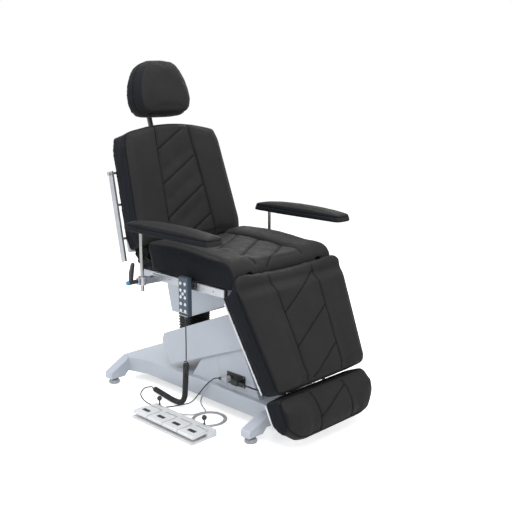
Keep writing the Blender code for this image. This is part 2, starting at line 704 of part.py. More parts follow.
def bellows(holder_tilt):
    """Square ribbed sleeve from the sloping arm top up to the level housing floor."""
    low = Vector((ARM_TOP * math.tan(ARM_TILT), 0.0, ARM_TOP + GAP))
    rise = HOUSING_FLOOR - GAP - CARRY_AT.z
    rings = BELLOWS_RIBS * 2 + 1
    outer = []
    inner = []
    for step in range(rings):
        share = step / (rings - 1)
        tilt = -holder_tilt * (1.0 - share)
        foot = Vector((low.x * math.cos(ARM_TILT) - low.z * math.sin(ARM_TILT), 0.0,
                       low.x * math.sin(ARM_TILT) + low.z * math.cos(ARM_TILT)))
        middle = foot.lerp(Vector((0.0, 0.0, rise)), share)
        swell = 0.0 if step % 2 == 0 else 0.007
        for store, half_x, half_y in (
                (outer, BELLOWS_HALF_X + swell, BELLOWS_HALF_Y + swell),
                (inner, BELLOWS_HALF_X + swell - BELLOWS_WALL, BELLOWS_HALF_Y + swell - BELLOWS_WALL)):
            round_corner = 0.010
            ring = rounded([(-half_x, -half_y, round_corner), (half_x, -half_y, round_corner),
                            (half_x, half_y, round_corner), (-half_x, half_y, round_corner)], 1)
            store.append([middle + Vector((u * math.cos(tilt), v, -u * math.sin(tilt)))
                          for u, v in ring])
    shape = bmesh.new()
    skins = []
    for store in (outer, inner):
        verts = [[shape.verts.new(point) for point in ring] for ring in store]
        for near, far in zip(verts, verts[1:]):
            for index in range(len(near)):
                following = (index + 1) % len(near)
                shape.faces.new((near[index], near[following], far[following], far[index]))
        skins.append(verts)
    for level in (0, -1):
        near = skins[0][level]
        far = skins[1][level]
        for index in range(len(near)):
            following = (index + 1) % len(near)
            shape.faces.new((near[index], near[following], far[following], far[index]))
    bmesh.ops.recalc_face_normals(shape, faces=shape.faces)
    return shape


def level_link():
    """Parallel bar, in the frame of its tower pin."""
    along = CARRY_AT - LIFT_AT
    width = (LINK_Y - LINK_WIDTH / 2.0, LINK_Y + LINK_WIDTH / 2.0)
    across = Vector((-along.z, 0.0, along.x)).normalized() * LINK_RADIUS * 0.7
    bar = prism([(across.x, across.z), (along.x + across.x, along.z + across.z),
                 (along.x - across.x, along.z - across.z), (-across.x, -across.z)],
                "Y", width[0] + 0.003, width[1] - 0.003)
    eyes = [rod((spot.x, width[0], spot.z), (spot.x, width[1], spot.z), LINK_RADIUS, 16)
            for spot in (Vector((0.0, 0.0, 0.0)), along)]
    bores = [rod((spot.x, width[0] - 0.01, spot.z), (spot.x, width[1] + 0.01, spot.z),
                 LINK_PIN + RUNNING, 12) for spot in (Vector((0.0, 0.0, 0.0)), along)]
    return cut(union(bar, *eyes), *bores)


def actuator_line():
    """Foot, direction and length of the lift actuator at rest."""
    foot = Vector((ACTUATOR_FOOT[0], 0.0, ACTUATOR_FOOT[1]))
    lug = LIFT_AT + Vector((
        ACTUATOR_LUG[0] * math.cos(ARM_TILT) - ACTUATOR_LUG[1] * math.sin(ARM_TILT), 0.0,
        ACTUATOR_LUG[0] * math.sin(ARM_TILT) + ACTUATOR_LUG[1] * math.cos(ARM_TILT)))
    return foot, (lug - foot).normalized(), (lug - foot).length


def lift_actuator():
    """Actuator tube with its foot eye, in the frame of its foot pin."""
    _, along, length = actuator_line()
    middle = Vector((0.0, ACTUATOR_Y, 0.0))
    tube_end = length - 0.085
    eye = rod((0.0, ACTUATOR_Y - 0.014, 0.0), (0.0, ACTUATOR_Y + 0.014, 0.0), ACTUATOR_EYE + 0.003, 16)
    neck = rod(middle, middle + along * 0.05, 0.012, 12)
    tube = rod(middle + along * 0.035, middle + along * tube_end, ACTUATOR_TUBE, 16)
    body = union(tube, neck, eye)
    pin = rod((0.0, ACTUATOR_Y - 0.05, 0.0), (0.0, ACTUATOR_Y + 0.05, 0.0), LINK_PIN + RUNNING, 12)
    bore = rod(middle + along * 0.06, middle + along * (tube_end + 0.05), ACTUATOR_ROD + RUNNING, 16)
    return cut(body, pin, bore)


def lift_rod():
    """Actuator rod with its eye beside the arm's lug, in the frame of the foot pin."""
    _, along, length = actuator_line()
    middle = Vector((0.0, ACTUATOR_Y, 0.0))
    tip = along * length
    stem = rod(middle + along * 0.075, middle + along * length, ACTUATOR_ROD, 16)
    eye = rod((tip.x, ACTUATOR_Y - ACTUATOR_ROD, tip.z), (tip.x, ACTUATOR_Y + ACTUATOR_ROD, tip.z),
              ACTUATOR_EYE, 16)
    hole = rod((tip.x, ACTUATOR_Y - 0.05, tip.z), (tip.x, ACTUATOR_Y + 0.05, tip.z), LINK_PIN, 12)
    return cut(union(stem, eye), hole)


def make_lift(paint, steel, dark, rubber, lift_axis, carry_axis):
    add("arm_shell", arm_shell(), paint, lift_axis)
    reach = ARM_HALF - SHEET - GAP
    add("arm_rear_shaft", rod((-ARM_LENGTH, -reach, 0.0), (-ARM_LENGTH, reach, 0.0),
                              SHAFT_RADIUS, 20), steel, lift_axis)
    add("bellows", bellows(ARM_TILT), rubber, carry_axis)
    link_axis = pivot("link_axis", (LIFT_X, 0.0, LIFT_Z - LINK_DROP))
    add("level_link", level_link(), dark, link_axis)
    actuator_axis = pivot("actuator_axis", (ACTUATOR_FOOT[0], 0.0, ACTUATOR_FOOT[1]))
    add("lift_actuator", lift_actuator(), dark, actuator_axis)
    add("lift_rod", lift_rod(), steel, actuator_axis)


# Carriage

def housing_outline(inset, over):
    slope = math.tan(ARM_TILT)
    front_z = HOUSING_FLOOR + (HOUSING_FRONT - HOUSING_BEND) * slope
    lift = inset / math.cos(ARM_TILT)
    return [(HOUSING_REAR[0] + inset, HOUSING_TOP + over), (HOUSING_REAR[0] + inset, 0.480),
            (HOUSING_REAR[1] + inset, HOUSING_FLOOR + inset), (HOUSING_BEND, HOUSING_FLOOR + lift),
            (HOUSING_FRONT - inset, front_z + lift - inset * slope),
            (HOUSING_FRONT - inset, HOUSING_TOP + over)]


def upper_housing():
    outer = prism(housing_outline(0.0, -GAP), "Y", -HOUSING_HALF, HOUSING_HALF)
    inner = prism(housing_outline(SHEET, 0.05), "Y", -HOUSING_HALF + SHEET, HOUSING_HALF - SHEET)
    throat = box((CARRY_AT.x - BELLOWS_HALF_X + BELLOWS_WALL, CARRY_AT.x + BELLOWS_HALF_X - BELLOWS_WALL),
                 (-BELLOWS_HALF_Y + BELLOWS_WALL, BELLOWS_HALF_Y - BELLOWS_WALL),
                 (HOUSING_FLOOR - 0.05, HOUSING_FLOOR + 0.05))
    return cut(outer, inner, throat)


def carriage_yoke():
    """Post from the arm's rear shaft up to the seat frame, with the link's lug below."""
    x = CARRY_AT.x
    half = YOKE_X / 2.0
    link_z = CARRY_AT.z - LINK_DROP
    post = box((x - half, x + half), (-YOKE_HALF, YOKE_HALF), (CARRY_AT.z, YOKE_TOP - GAP), 0.003)
    hub = rod((x, -YOKE_HALF, CARRY_AT.z), (x, YOKE_HALF, CARRY_AT.z), 0.028, 20)
    cheek = LINK_Y + LINK_WIDTH / 2.0 + GAP
    lug = prism(rounded([(x - half, CARRY_AT.z, 0.0), (x - LINK_RADIUS, link_z - LINK_RADIUS, 0.012),
                         (x + LINK_RADIUS, link_z - LINK_RADIUS, 0.012), (x + half, CARRY_AT.z, 0.0)]),
                "Y", cheek, cheek + LUG_PLATE)
    pin = rod((x, cheek + LUG_PLATE / 2.0, link_z), (x, LINK_Y - LINK_WIDTH / 2.0 - 0.003, link_z),
              LINK_PIN, 12)
    body = union(post, hub, lug, pin)
    bore = rod((x, -0.1, CARRY_AT.z), (x, 0.1, CARRY_AT.z), SHAFT_RADIUS + RUNNING, 20)
    return cut(body, bore)


def seat_frame():
    low = FRAME_TOP - FRAME_FLANGE
    tray = box((FRAME_REAR, FRAME_FRONT), (-FRAME_HALF_WIDTH, FRAME_HALF_WIDTH), (low, FRAME_TOP),
               0.004, 2)
    hollow = box((FRAME_REAR + SHEET * 2.0, FRAME_FRONT - SHEET * 2.0),
                 (-FRAME_HALF_WIDTH + SHEET * 2.0, FRAME_HALF_WIDTH - SHEET * 2.0),
                 (low - 0.02, FRAME_TOP - SHEET * 3.0))
    board = box((BOARD_REAR, FRAME_FRONT - 0.040), (-FRAME_HALF_WIDTH - 0.010, FRAME_HALF_WIDTH + 0.010),
                (FRAME_TOP - 0.002, SEAT_BOTTOM - GAP))
    frame = union(cut(tray, hollow), board)
    lugs = []
    for sign in (-1.0, 1.0):
        inner = LEG_LUG_Y - LUG_PLATE - GAP
        x, z = LEG_HINGE
        leg_lug = prism(rounded([(FRAME_FRONT - 0.035, FRAME_TOP - 0.012, 0.0),
                                 (FRAME_FRONT, FRAME_TOP - 0.030, 0.0),
                                 (x + LUG_RADIUS, z - LUG_RADIUS, 0.004),
                                 (x + LUG_RADIUS, z + LUG_RADIUS, LUG_RADIUS * 0.95),
                                 (x - LUG_RADIUS, z + LUG_RADIUS, LUG_RADIUS * 0.95)]),
                        "Y", *sorted((sign * inner, sign * (inner - LUG_PLATE))))
        x, z = BACK_HINGE
        inner = BACK_LUG_Y - LUG_PLATE - GAP
        back_lug = prism(rounded([(FRAME_REAR + 0.015, FRAME_TOP - 0.012, 0.0),
                                  (FRAME_REAR + 0.085, FRAME_TOP - 0.012, 0.0),
                                  (x + LUG_RADIUS, z + LUG_RADIUS, LUG_RADIUS * 0.95),
                                  (x - LUG_RADIUS, z + LUG_RADIUS, LUG_RADIUS * 0.95)]),
                         "Y", *sorted((sign * inner, sign * (inner - LUG_PLATE))))
        lugs += [leg_lug, back_lug]
    frame = union(frame, *lugs)
    shafts = [rod((x, -0.4, z), (x, 0.4, z), LEG_SHAFT + GAP, 16) for x, z in (LEG_HINGE, BACK_HINGE)]
    return cut(frame, *shafts)


def seat_rail(side):
    """Rail with its armrest bracket and split clamp, on the right side."""
    def build():
        rail = box((RAIL_REAR, RAIL_FRONT), (-RAIL_Y, -RAIL_Y + RAIL_DEPTH), RAIL_Z, 0.002)
        channel = box((RAIL_REAR + 0.02, RAIL_FRONT + 0.01),
                      (-RAIL_Y + 0.004, -RAIL_Y + RAIL_DEPTH + 0.01),
                      (RAIL_Z[0] + 0.005, RAIL_Z[1] - 0.005))
        feet = [box((x, x + 0.03), (-RAIL_Y + 0.003, -FRAME_HALF_WIDTH - GAP), (RAIL_Z[0] + 0.002, 0.596))
                for x in (RAIL_REAR + 0.06, FRAME_FRONT - 0.06)]
        arm = prism([(RAIL_REAR, -RAIL_Y + RAIL_DEPTH), (RAIL_REAR + 0.012, -RAIL_Y - 0.03),
                     (POST_X - 0.012, -POST_Y + 0.006), (POST_X + 0.012, -POST_Y + 0.006),
                     (RAIL_REAR + 0.045, -RAIL_Y - 0.02), (RAIL_REAR + 0.050, -RAIL_Y + RAIL_DEPTH)],
                    "Z", CLAMP_Z[0] - 0.001, CLAMP_Z[1] - 0.004)
        groove_cut = box((RAIL_REAR - 0.02, RAIL_REAR + 0.08), (-POST_Y + 0.03, -RAIL_Y - 0.012),
                         (CLAMP_Z[1] - 0.009, CLAMP_Z[1] + 0.01))
        collar = rod((POST_X, -POST_Y, CLAMP_Z[0] - 0.003), (POST_X, -POST_Y, CLAMP_Z[1]),
                     CLAMP_OUTER, 16)
        ears = box((POST_X - 0.010, POST_X + 0.010), (-POST_Y - CLAMP_EAR, -POST_Y),
                   (CLAMP_Z[0], CLAMP_Z[1] - 0.002), 0.002)
        body = union(cut(rail, channel), *feet, cut(arm, groove_cut), collar, ears)
        bore = rod((POST_X, -POST_Y, 0.5), (POST_X, -POST_Y, 0.7), POST_RADIUS + RUNNING, 16)
        split = box((POST_X - 0.001, POST_X + 0.001), (-POST_Y - 0.05, -POST_Y), (0.5, 0.7))
        return cut(body, bore, split)
    return mirrored(build, side)


def seat_crown(y):
    """Nose radius of the seat at a width, larger at the side bolsters."""
    return NOSE_CENTRE + (NOSE_SIDE - NOSE_CENTRE) * smooth_step((abs(y) - 0.10) / 0.10)


def seat_cushion():
    hinge_x, hinge_z = LEG_HINGE
    lean = math.tan(BACK_TILT)
    shares = (-1.0, -0.97, -0.9, -0.75, -0.62, -0.54, -0.49, -0.44, -0.30, -0.15, 0.0)
    shares = shares + tuple(-share for share in reversed(shares[:-1]))
    profiles = []
    for share in shares:
        rim = 0.014 if abs(share) == 1.0 else 0.004 if abs(share) == 0.97 else 0.0
        y = share * SEAT_HALF
        radius = seat_crown(y) - rim
        seam = 0.007 if abs(abs(share) - 0.49) < 0.001 else 0.0
        rise = BOLSTER_RISE * (1.0 + 0.8 * smooth_step((abs(y) - 0.14) / 0.10))
        rear = BACK_HINGE[0] + (BACK_FRONT + 0.006) / math.cos(BACK_TILT)
        top_rear = hinge_z + radius + rise * 0.6 - seam
        ring = [(rear - (SEAT_BOTTOM - BACK_HINGE[1]) * lean + rim, SEAT_BOTTOM),
                (rear - (top_rear - 0.02 - BACK_HINGE[1]) * lean + rim, top_rear - 0.020),
                (rear - (top_rear - BACK_HINGE[1]) * lean + 0.012 + rim, top_rear)]
        for step in (0.15, 0.35, 0.5, 0.65, 0.8, 0.92):
            x = rear + (hinge_x - rear) * step
            swell = rise * math.sin(math.pi * min(1.0, step + 0.15))
            bars = groove((x, y), SEAT_CHEVRONS, 0.005, 0.014)
            ring.append((x, hinge_z + radius + max(swell, 0.0) - seam - bars))
        for step in range(9):
            angle = math.radians(90.0 - step * 20.0)
            ring.append((hinge_x + (radius - seam) * math.cos(angle),
                         max(hinge_z + (radius - seam) * math.sin(angle), SEAT_BOTTOM)))
        waist = 0.005 if abs(share) == 1.0 else 0.0
        ring.append((hinge_x - 0.02, SEAT_BOTTOM))
        profiles.append([Vector((x, y - math.copysign(waist, share), z)) for x, z in ring])
    shape = loft(profiles)
    slots = []
    for sign in (-1.0, 1.0):
        middle = sign * (LEG_LUG_Y - LUG_PLATE)
        outline = [(hinge_x - 0.060, SEAT_BOTTOM - 0.02), (hinge_x + 0.10, SEAT_BOTTOM - 0.02),
                   (hinge_x + 0.10, hinge_z + LUG_RADIUS + 0.003),
                   (hinge_x - LUG_RADIUS - 0.003, hinge_z + LUG_RADIUS + 0.003),
                   (hinge_x - LUG_RADIUS - 0.028, hinge_z - 0.02)]
        slots.append(prism(outline, "Y", middle - SLOT_HALF, middle + SLOT_HALF))
    reach = LEG_LUG_Y - LUG_PLATE
    bore = rod((hinge_x, -reach, hinge_z), (hinge_x, reach, hinge_z), LEG_SHAFT + 0.002, 12)
    return cut(shape, bore, *slots)


def hip_skirt():
    """Folded vinyl gusset that closes the gap between seat and back at both sides and below."""
    rear_low = FRAME_REAR + 0.004
    bottom = FRAME_TOP + GAP * 2.0
    hinge_x, hinge_z = BACK_HINGE
    ahead = hinge_x + (BACK_FRONT + 0.003) / math.cos(BACK_TILT)
    front_low = ahead - (SEAT_BOTTOM - hinge_z) * math.tan(BACK_TILT)
    front_top = ahead - (0.690 - hinge_z) * math.tan(BACK_TILT)
    back_edge = Vector((hinge_x - math.sin(BACK_TILT) * (BACK_LOW - 0.004),
                        hinge_z + math.cos(BACK_TILT) * (BACK_LOW - 0.004)))
    forward = Vector((math.cos(BACK_TILT), math.sin(BACK_TILT)))
    nose = back_edge + forward * (BACK_FRONT - 0.002)
    tail = back_edge + forward * BACK_REAR
    outline = [(front_low, bottom), (front_top, 0.690), (nose.x, nose.y), (tail.x, tail.y),
               (rear_low, bottom)]
    sides = []
    for sign in (-1.0, 1.0):
        inner = sign * (BACK_LUG_Y + 0.030)
        outer = sign * (SEAT_HALF - 0.010)
        sides.append(prism(outline, "Y", *sorted((inner, outer))))
    strip = box((rear_low, rear_low + 0.008), (-SEAT_HALF + 0.03, SEAT_HALF - 0.03),
                (bottom, bottom + 0.012))
    return union(sides[0], sides[1], strip)


def handset():
    """Handset body with its keys and the hook on the rail."""
    middle_x = (HANDSET_X[0] + HANDSET_X[1]) / 2.0
    body = box(HANDSET_X, (HANDSET_Y - HANDSET_DEPTH, HANDSET_Y), HANDSET_Z, 0.004, 2)
    hook = box((middle_x - 0.012, middle_x + 0.012), (HANDSET_Y - 0.002, -RAIL_Y - GAP),
               (RAIL_Z[0] + 0.004, RAIL_Z[1] + 0.006))
    lip = box((middle_x - 0.012, middle_x + 0.012), (-RAIL_Y - 0.002, -RAIL_Y + 0.004),
              (RAIL_Z[1] + GAP, RAIL_Z[1] + 0.0055))
    relief = rod((middle_x, HANDSET_Y - HANDSET_DEPTH / 2.0, HANDSET_Z[0] + 0.002),
                 (middle_x, HANDSET_Y - HANDSET_DEPTH / 2.0, HANDSET_Z[0] - 0.012), 0.005, 12)
    keys = []
    for row in range(5):
        for column in (-1.0, 1.0):
            keys.append((middle_x + column * 0.0135, HANDSET_Z[1] - 0.026 - row * 0.0285))
    keys.append((middle_x, HANDSET_Z[1] - 0.026 - 1.5 * 0.0285))
    caps = [rod((x, HANDSET_Y - HANDSET_DEPTH + 0.001, z), (x, HANDSET_Y - HANDSET_DEPTH - 0.0012, z),
                0.0062, 8) for x, z in keys]
    return union(body, hook, lip, relief, *caps)


def make_carriage(paint, steel, dark, vinyl, plastic, seat_space):
    add("carriage_yoke", carriage_yoke(), dark, seat_space)
    add("upper_housing", upper_housing(), paint, seat_space)
    add("seat_frame", seat_frame(), paint, seat_space)
    add("seat_rail_right", seat_rail(-1), steel, seat_space)
    add("seat_rail_left", seat_rail(1), steel, seat_space)
    add("seat_cushion", seat_cushion(), vinyl, seat_space)
    add("hip_skirt", hip_skirt(), vinyl, seat_space)
    add("handset", handset(), plastic, seat_space)
    reach = LEG_LUG_Y + GAP
    add("leg_hinge_shaft", rod((LEG_HINGE[0], -reach, LEG_HINGE[1]), (LEG_HINGE[0], reach, LEG_HINGE[1]),
                               LEG_SHAFT, 16), steel, seat_space)
    reach = BACK_LUG_Y + GAP
    shaft = rod((BACK_HINGE[0], -reach, BACK_HINGE[1]), (BACK_HINGE[0], reach, BACK_HINGE[1]), LEG_SHAFT, 16)
    add("back_hinge_shaft", shaft, steel, seat_space)


# Backrest, in a frame with X out of its front, Z up along it

def back_half(height):
    share = (height - BACK_LOW) / (BACK_TOP - BACK_LOW)
    return BACK_HALF_LOW + (BACK_HALF_TOP - BACK_HALF_LOW) * share


def turn_pad(shape, base):
    """Stands a (length, width, height) pad up as (height, width, length) from a base plane."""
    for vert in shape.verts:
        length, width, height = vert.co
        vert.co = Vector((base + height, width, length))
    bmesh.ops.recalc_face_normals(shape, faces=shape.faces)
    return shape


def back_cushion():
    arch = 0.030
    last = BACK_TOP - arch
    seams = [((BACK_LOW, side * 0.137), (last, side * 0.098)) for side in (-1.0, 1.0)]
    for foot in (0.10, 0.23, 0.36):
        seams.append(((foot, -0.120), (foot + 0.125, 0.115)))
    lengths = stations(BACK_LOW, last, 16)
    lengths[1] = BACK_LOW + 0.012
    lengths[-2] = last - 0.012
    columns = (-1.0, -0.93, -0.8, -0.62, -0.5, -0.43, -0.36, -0.24, -0.12, 0.0)
    columns = columns + tuple(-share for share in reversed(columns[:-1]))
    shape = cushion(lengths, back_half, BACK_FRONT - BACK_REAR - 0.014, 0.014, 0.045, columns,
                    seams, 0.007, arch=arch, dish=0.010)
    return turn_pad(shape, BACK_REAR)


def back_frame():
    """Back panel with its hinge lugs and the head post clamp."""
    inset = 0.012
    top = BACK_TOP - 0.045
    outline = rounded([(-back_half(BACK_LOW) + inset, BACK_LOW, 0.01),
                       (back_half(BACK_LOW) - inset, BACK_LOW, 0.01),
                       (BACK_HALF_TOP - inset, top, 0.05), (-BACK_HALF_TOP + inset, top, 0.05)], 4)
    rear = BACK_REAR - GAP - BACK_PANEL
    panel = prism(outline, "X", rear, BACK_REAR - GAP)
    soften(panel, 0.003, 1, 60.0)
    lugs = []
    for sign in (-1.0, 1.0):
        shape = rounded([(rear + 0.002, BACK_LOW + 0.09, 0.0), (rear + 0.002, BACK_LOW - 0.004, 0.006),
                         (-LUG_RADIUS, -LUG_RADIUS, LUG_RADIUS * 0.95),
                         (LUG_RADIUS, -LUG_RADIUS, LUG_RADIUS * 0.95),
                         (LUG_RADIUS, LUG_RADIUS, 0.006), (BACK_REAR - GAP - 0.001, BACK_LOW - 0.002, 0.0),
                         (BACK_REAR - GAP - 0.001, BACK_LOW + 0.09, 0.0)])
        lugs.append(prism(shape, "Y", *sorted((sign * BACK_LUG_Y, sign * (BACK_LUG_Y - LUG_PLATE)))))
    clamp_top = top - 0.012
    clamp = box((HEAD_POST_OUT - 0.022, rear + 0.002), (-0.026, 0.026), (clamp_top - 0.07, clamp_top), 0.003)
    body = union(panel, lugs[0], lugs[1], clamp)
    bore = rod((HEAD_POST_OUT, 0.0, 0.2), (HEAD_POST_OUT, 0.0, 0.8), HEAD_POST_RADIUS + RUNNING, 20)
    shaft = rod((0.0, -0.4, 0.0), (0.0, 0.4, 0.0), LEG_SHAFT + GAP, 16)
    return cut(body, bore, shaft)


def back_rail(side):
    """Accessory rail with three stand-offs and its end knob, on the right side."""
    def build():
        out = 0.022
        rear = BACK_REAR - 0.008

        def edge(height):
            return -back_half(height) + 0.012

        low = BACK_RAIL_LOW
        top = BACK_RAIL_TOP
        outline = [(edge(low) - out, low), (edge(top) - out, top), (edge(top) - out - 0.010, top),
                   (edge(low) - out - 0.010, low)]
        bar = prism(outline, "X", rear - 0.015, rear + 0.013)
        posts = []
        for height in (top - 0.008, top - 0.150, top - 0.300):
            posts.append(rod((rear, edge(height) - out - 0.004, height),
                             (rear, edge(height) - GAP, height), 0.006, 12))
        knob = rod((rear, edge(top) - out - 0.006, top - 0.008),
                   (rear, edge(top) - out - 0.022, top - 0.008), 0.009, 14)
        return union(bar, knob, *posts)
    return mirrored(build, side)


def headrest_cushion():
    depth, width, height = HEAD_SIZE
    first = -HEAD_DROP
    lengths = [first + height * share for share, _ in HEAD_OUTLINE]
    columns = (-1.0, -0.92, -0.75, -0.5, -0.25, 0.0, 0.25, 0.5, 0.75, 0.92, 1.0)

    def half(length):
        wide = min(HEAD_OUTLINE, key=lambda mark: abs(first + height * mark[0] - length))[1]
        return width / 2.0 * wide

    shape = cushion(lengths, half, depth - 0.022, 0.022, 0.0, columns, waist=0.012, edge=0.026,
                    fullness=(4, 5))
    return turn_pad(shape, 0.0)


def make_back(paint, steel, dark, vinyl, back_axis):
    add("back_frame", back_frame(), paint, back_axis)
    add("back_cushion", back_cushion(), vinyl, back_axis)
    add("back_rail_right", back_rail(-1), steel, back_axis)
    add("back_rail_left", back_rail(1), steel, back_axis)
    post_axis = pivot("head_post_axis", (HEAD_POST_OUT, 0.0, 0.0), parent=back_axis)
    tilt_x, tilt_z = HEAD_TILT_AT
    low = BACK_TOP - 0.045 - 0.18
    post = rod((0.0, 0.0, low), (0.0, 0.0, tilt_z - 0.018), HEAD_POST_RADIUS, 20)
    knuckle = rod((tilt_x - HEAD_POST_OUT, -0.014, tilt_z), (tilt_x - HEAD_POST_OUT, 0.014, tilt_z),
                  0.013, 16)
    neck = box((-0.010, 0.010), (-0.010, 0.010), (tilt_z - 0.024, tilt_z))
    add("head_post", union(post, neck, knuckle), dark, post_axis)
    head_axis = pivot("head_axis", (tilt_x - HEAD_POST_OUT, 0.0, tilt_z), HEAD_TILT, post_axis)
    plate_x = 0.034
    plate = box((plate_x, plate_x + 0.006), (-0.060, 0.060), (-0.070, 0.070), 0.002)
    forks = [box((-0.013, plate_x + 0.002), tuple(sorted((sign * 0.0145, sign * 0.0205))),
                 (-0.013, 0.013), 0.002) for sign in (-1.0, 1.0)]
    add("head_bracket", union(plate, *forks), dark, head_axis)
    cushion_axis = pivot("headrest_seat", (plate_x + 0.006 + GAP, 0.0, 0.0), parent=head_axis)
    add("headrest_cushion", headrest_cushion(), vinyl, cushion_axis)


# Legrest and footrest, in a frame with X out of the front, Z up along the leg

def leg_half(down):
    share = (down - 0.05) / (LEG_END - 0.05)
    return LEG_HALF_TOP + (LEG_HALF_LOW - LEG_HALF_TOP) * min(max(share, 0.0), 1.0)


def leg_cushion():
    shares = (-1.0, -0.965, -0.88, -0.72, -0.58, -0.5, -0.42, -0.28, -0.14, 0.0)
    shares = shares + tuple(-share for share in reversed(shares[:-1]))
    profiles = []
    for share in shares:
        rim = 0.016 if abs(share) == 1.0 else 0.004 if abs(share) == 0.965 else 0.0
        seam = 0.006 if abs(share) == 0.5 else 0.0
        clear = seat_crown(share * LEG_HALF_TOP) + 0.005
        lip = math.radians(-4.0 - 14.0 * (1.0 - smooth_step(abs(share))))
        front = LEG_FRONT - rim - seam + 0.006 * (1.0 - share ** 4)
        ring = []
        for step in range(6):
            angle = lip + (math.radians(-94.0) - lip) * step / 5.0
            ring.append((clear * math.cos(angle), clear * math.sin(angle)))
        ring[-1] = (LEG_REAR, -math.sqrt(clear ** 2 - LEG_REAR ** 2))
        ring.append((LEG_REAR, -LEG_END + 0.012))
        ring.append((LEG_REAR + 0.012, -LEG_END + rim * 0.5))
        ring.append((front - 0.030, -LEG_END + rim * 0.5))
        ring.append((front - 0.010, -LEG_END + 0.008 + rim * 0.5))
        ring.append((front, -LEG_END + 0.035))
        for down in (0.42, 0.34, 0.26, 0.18, 0.11):
            y = share * leg_half(down)
            bars = groove((down, y), LEG_CHEVRONS, 0.006, 0.013)
            ring.append((front - bars, -down))
        for share_turn, part in ((1.0, 0.95), (0.6, 0.78), (0.3, 0.5), (0.06, 0.2)):
            angle = lip + (math.radians(-42.0) - lip) * share_turn
            reach = clear + (min(front / math.cos(angle), LEG_FRONT + 0.012) - clear) * part
            ring.append((reach * math.cos(angle), reach * math.sin(angle)))
        profiles.append([Vector((x, share * leg_half(-z), z)) for x, z in ring])
    return loft(profiles)


def leg_frame():
    """Leg board with its hinge lugs and the two rod sleeves of the footrest."""
    rear = LEG_REAR - GAP - LEG_BOARD
    top = -0.105
    outline = rounded([(-leg_half(-top) + 0.006, top, 0.02), (leg_half(-top) - 0.006, top, 0.02),
                       (LEG_HALF_LOW - 0.006, -LEG_END + 0.004, 0.02),
                       (-LEG_HALF_LOW + 0.006, -LEG_END + 0.004, 0.02)])
    board = prism(outline, "X", rear, LEG_REAR - GAP)
    lugs = []
    for sign in (-1.0, 1.0):
        shape = rounded([(rear - 0.006, top - 0.06, 0.0), (rear - 0.006, top + 0.03, 0.012),
                         (-LUG_RADIUS, LUG_RADIUS, LUG_RADIUS * 0.9),
                         (LUG_RADIUS, LUG_RADIUS, LUG_RADIUS * 0.9),
                         (LUG_RADIUS, -LUG_RADIUS, 0.008), (LEG_REAR - GAP - 0.003, top + 0.03, 0.0),
                         (LEG_REAR - GAP - 0.003, top - 0.06, 0.0)])
        lugs.append(prism(shape, "Y", *sorted((sign * LEG_LUG_Y, sign * (LEG_LUG_Y - LUG_PLATE)))))
    sleeves = [box((rear - 0.026, rear + 0.002), (sign * ROD_Y - 0.014, sign * ROD_Y + 0.014),
                   (-LEG_END + 0.010, -LEG_END + 0.150), 0.002) for sign in (-1.0, 1.0)]
    body = union(board, *lugs, *sleeves)
    rod_x = rear - 0.013
    bores = [rod((rod_x, sign * ROD_Y, -LEG_END - 0.1), (rod_x, sign * ROD_Y, 0.0),
                 ROD_RADIUS + RUNNING, 16) for sign in (-1.0, 1.0)]
    shaft = rod((0.0, -0.4, 0.0), (0.0, 0.4, 0.0), LEG_SHAFT + GAP, 16)
    return cut(body, shaft, *bores)


def foot_frame():
    """Foot board with its two slide rods."""
    rear = LEG_REAR - GAP - LEG_BOARD
    outline = rounded([(-FOOT_HALF + 0.006, -FOOT_START - 0.002, 0.02),
                       (FOOT_HALF - 0.006, -FOOT_START - 0.002, 0.02),
                       (FOOT_HALF - 0.03, -FOOT_END + 0.045, 0.04),
                       (-FOOT_HALF + 0.03, -FOOT_END + 0.045, 0.04)])
    board = prism(outline, "X", rear, LEG_REAR - GAP)
    rod_x = rear - 0.013
    rods = []
    feet = []
    for sign in (-1.0, 1.0):
        low = -FOOT_START - 0.08
        rods.append(rod((rod_x, sign * ROD_Y, low), (rod_x, sign * ROD_Y, low + ROD_LENGTH),
                        ROD_RADIUS, 16))
        feet.append(box((rear - 0.024, rear + 0.002), (sign * ROD_Y - 0.012, sign * ROD_Y + 0.012),
                        (-FOOT_START - 0.10, -FOOT_START - 0.030), 0.002))
    return union(board, *feet, *rods)


def foot_cushion():
    shares = (-1.0, -0.95, -0.8, -0.62, -0.5, -0.38, -0.19, 0.0)
    shares = shares + tuple(-share for share in reversed(shares[:-1]))
    profiles = []
    for share in shares:
        rim = 0.016 if abs(share) == 1.0 else 0.004 if abs(share) == 0.95 else 0.0
        seam = 0.005 if abs(share) == 0.5 else 0.0
        front = FOOT_FRONT - rim - seam
        corner = 0.045 * smooth_step((abs(share) - 0.72) / 0.28)
        end = -FOOT_END + corner
        ring = [(LEG_REAR, -FOOT_START - rim * 0.5), (LEG_REAR, end + 0.050),
                (LEG_REAR + 0.012, end + 0.018), (LEG_REAR + 0.034, end),
                (front - 0.030, end + 0.008), (front - 0.008, end + 0.040),
                (front + 0.004, end + 0.085), (front - 0.004, -FOOT_START - 0.050),
                (front - 0.016, -FOOT_START - 0.016), (front - 0.030, -FOOT_START - rim * 0.5)]
        profiles.append([Vector((x, share * FOOT_HALF, z)) for x, z in ring])
    return loft(profiles)


def make_leg(paint, steel, vinyl, leg_axis):
    add("leg_frame", leg_frame(), paint, leg_axis)
    add("leg_cushion", leg_cushion(), vinyl, leg_axis)
    foot_axis = pivot("foot_axis", (0.0, 0.0, 0.0), parent=leg_axis)
    add("foot_frame", foot_frame(), steel, foot_axis)
    add("foot_cushion", foot_cushion(), vinyl, foot_axis)


# Armrests

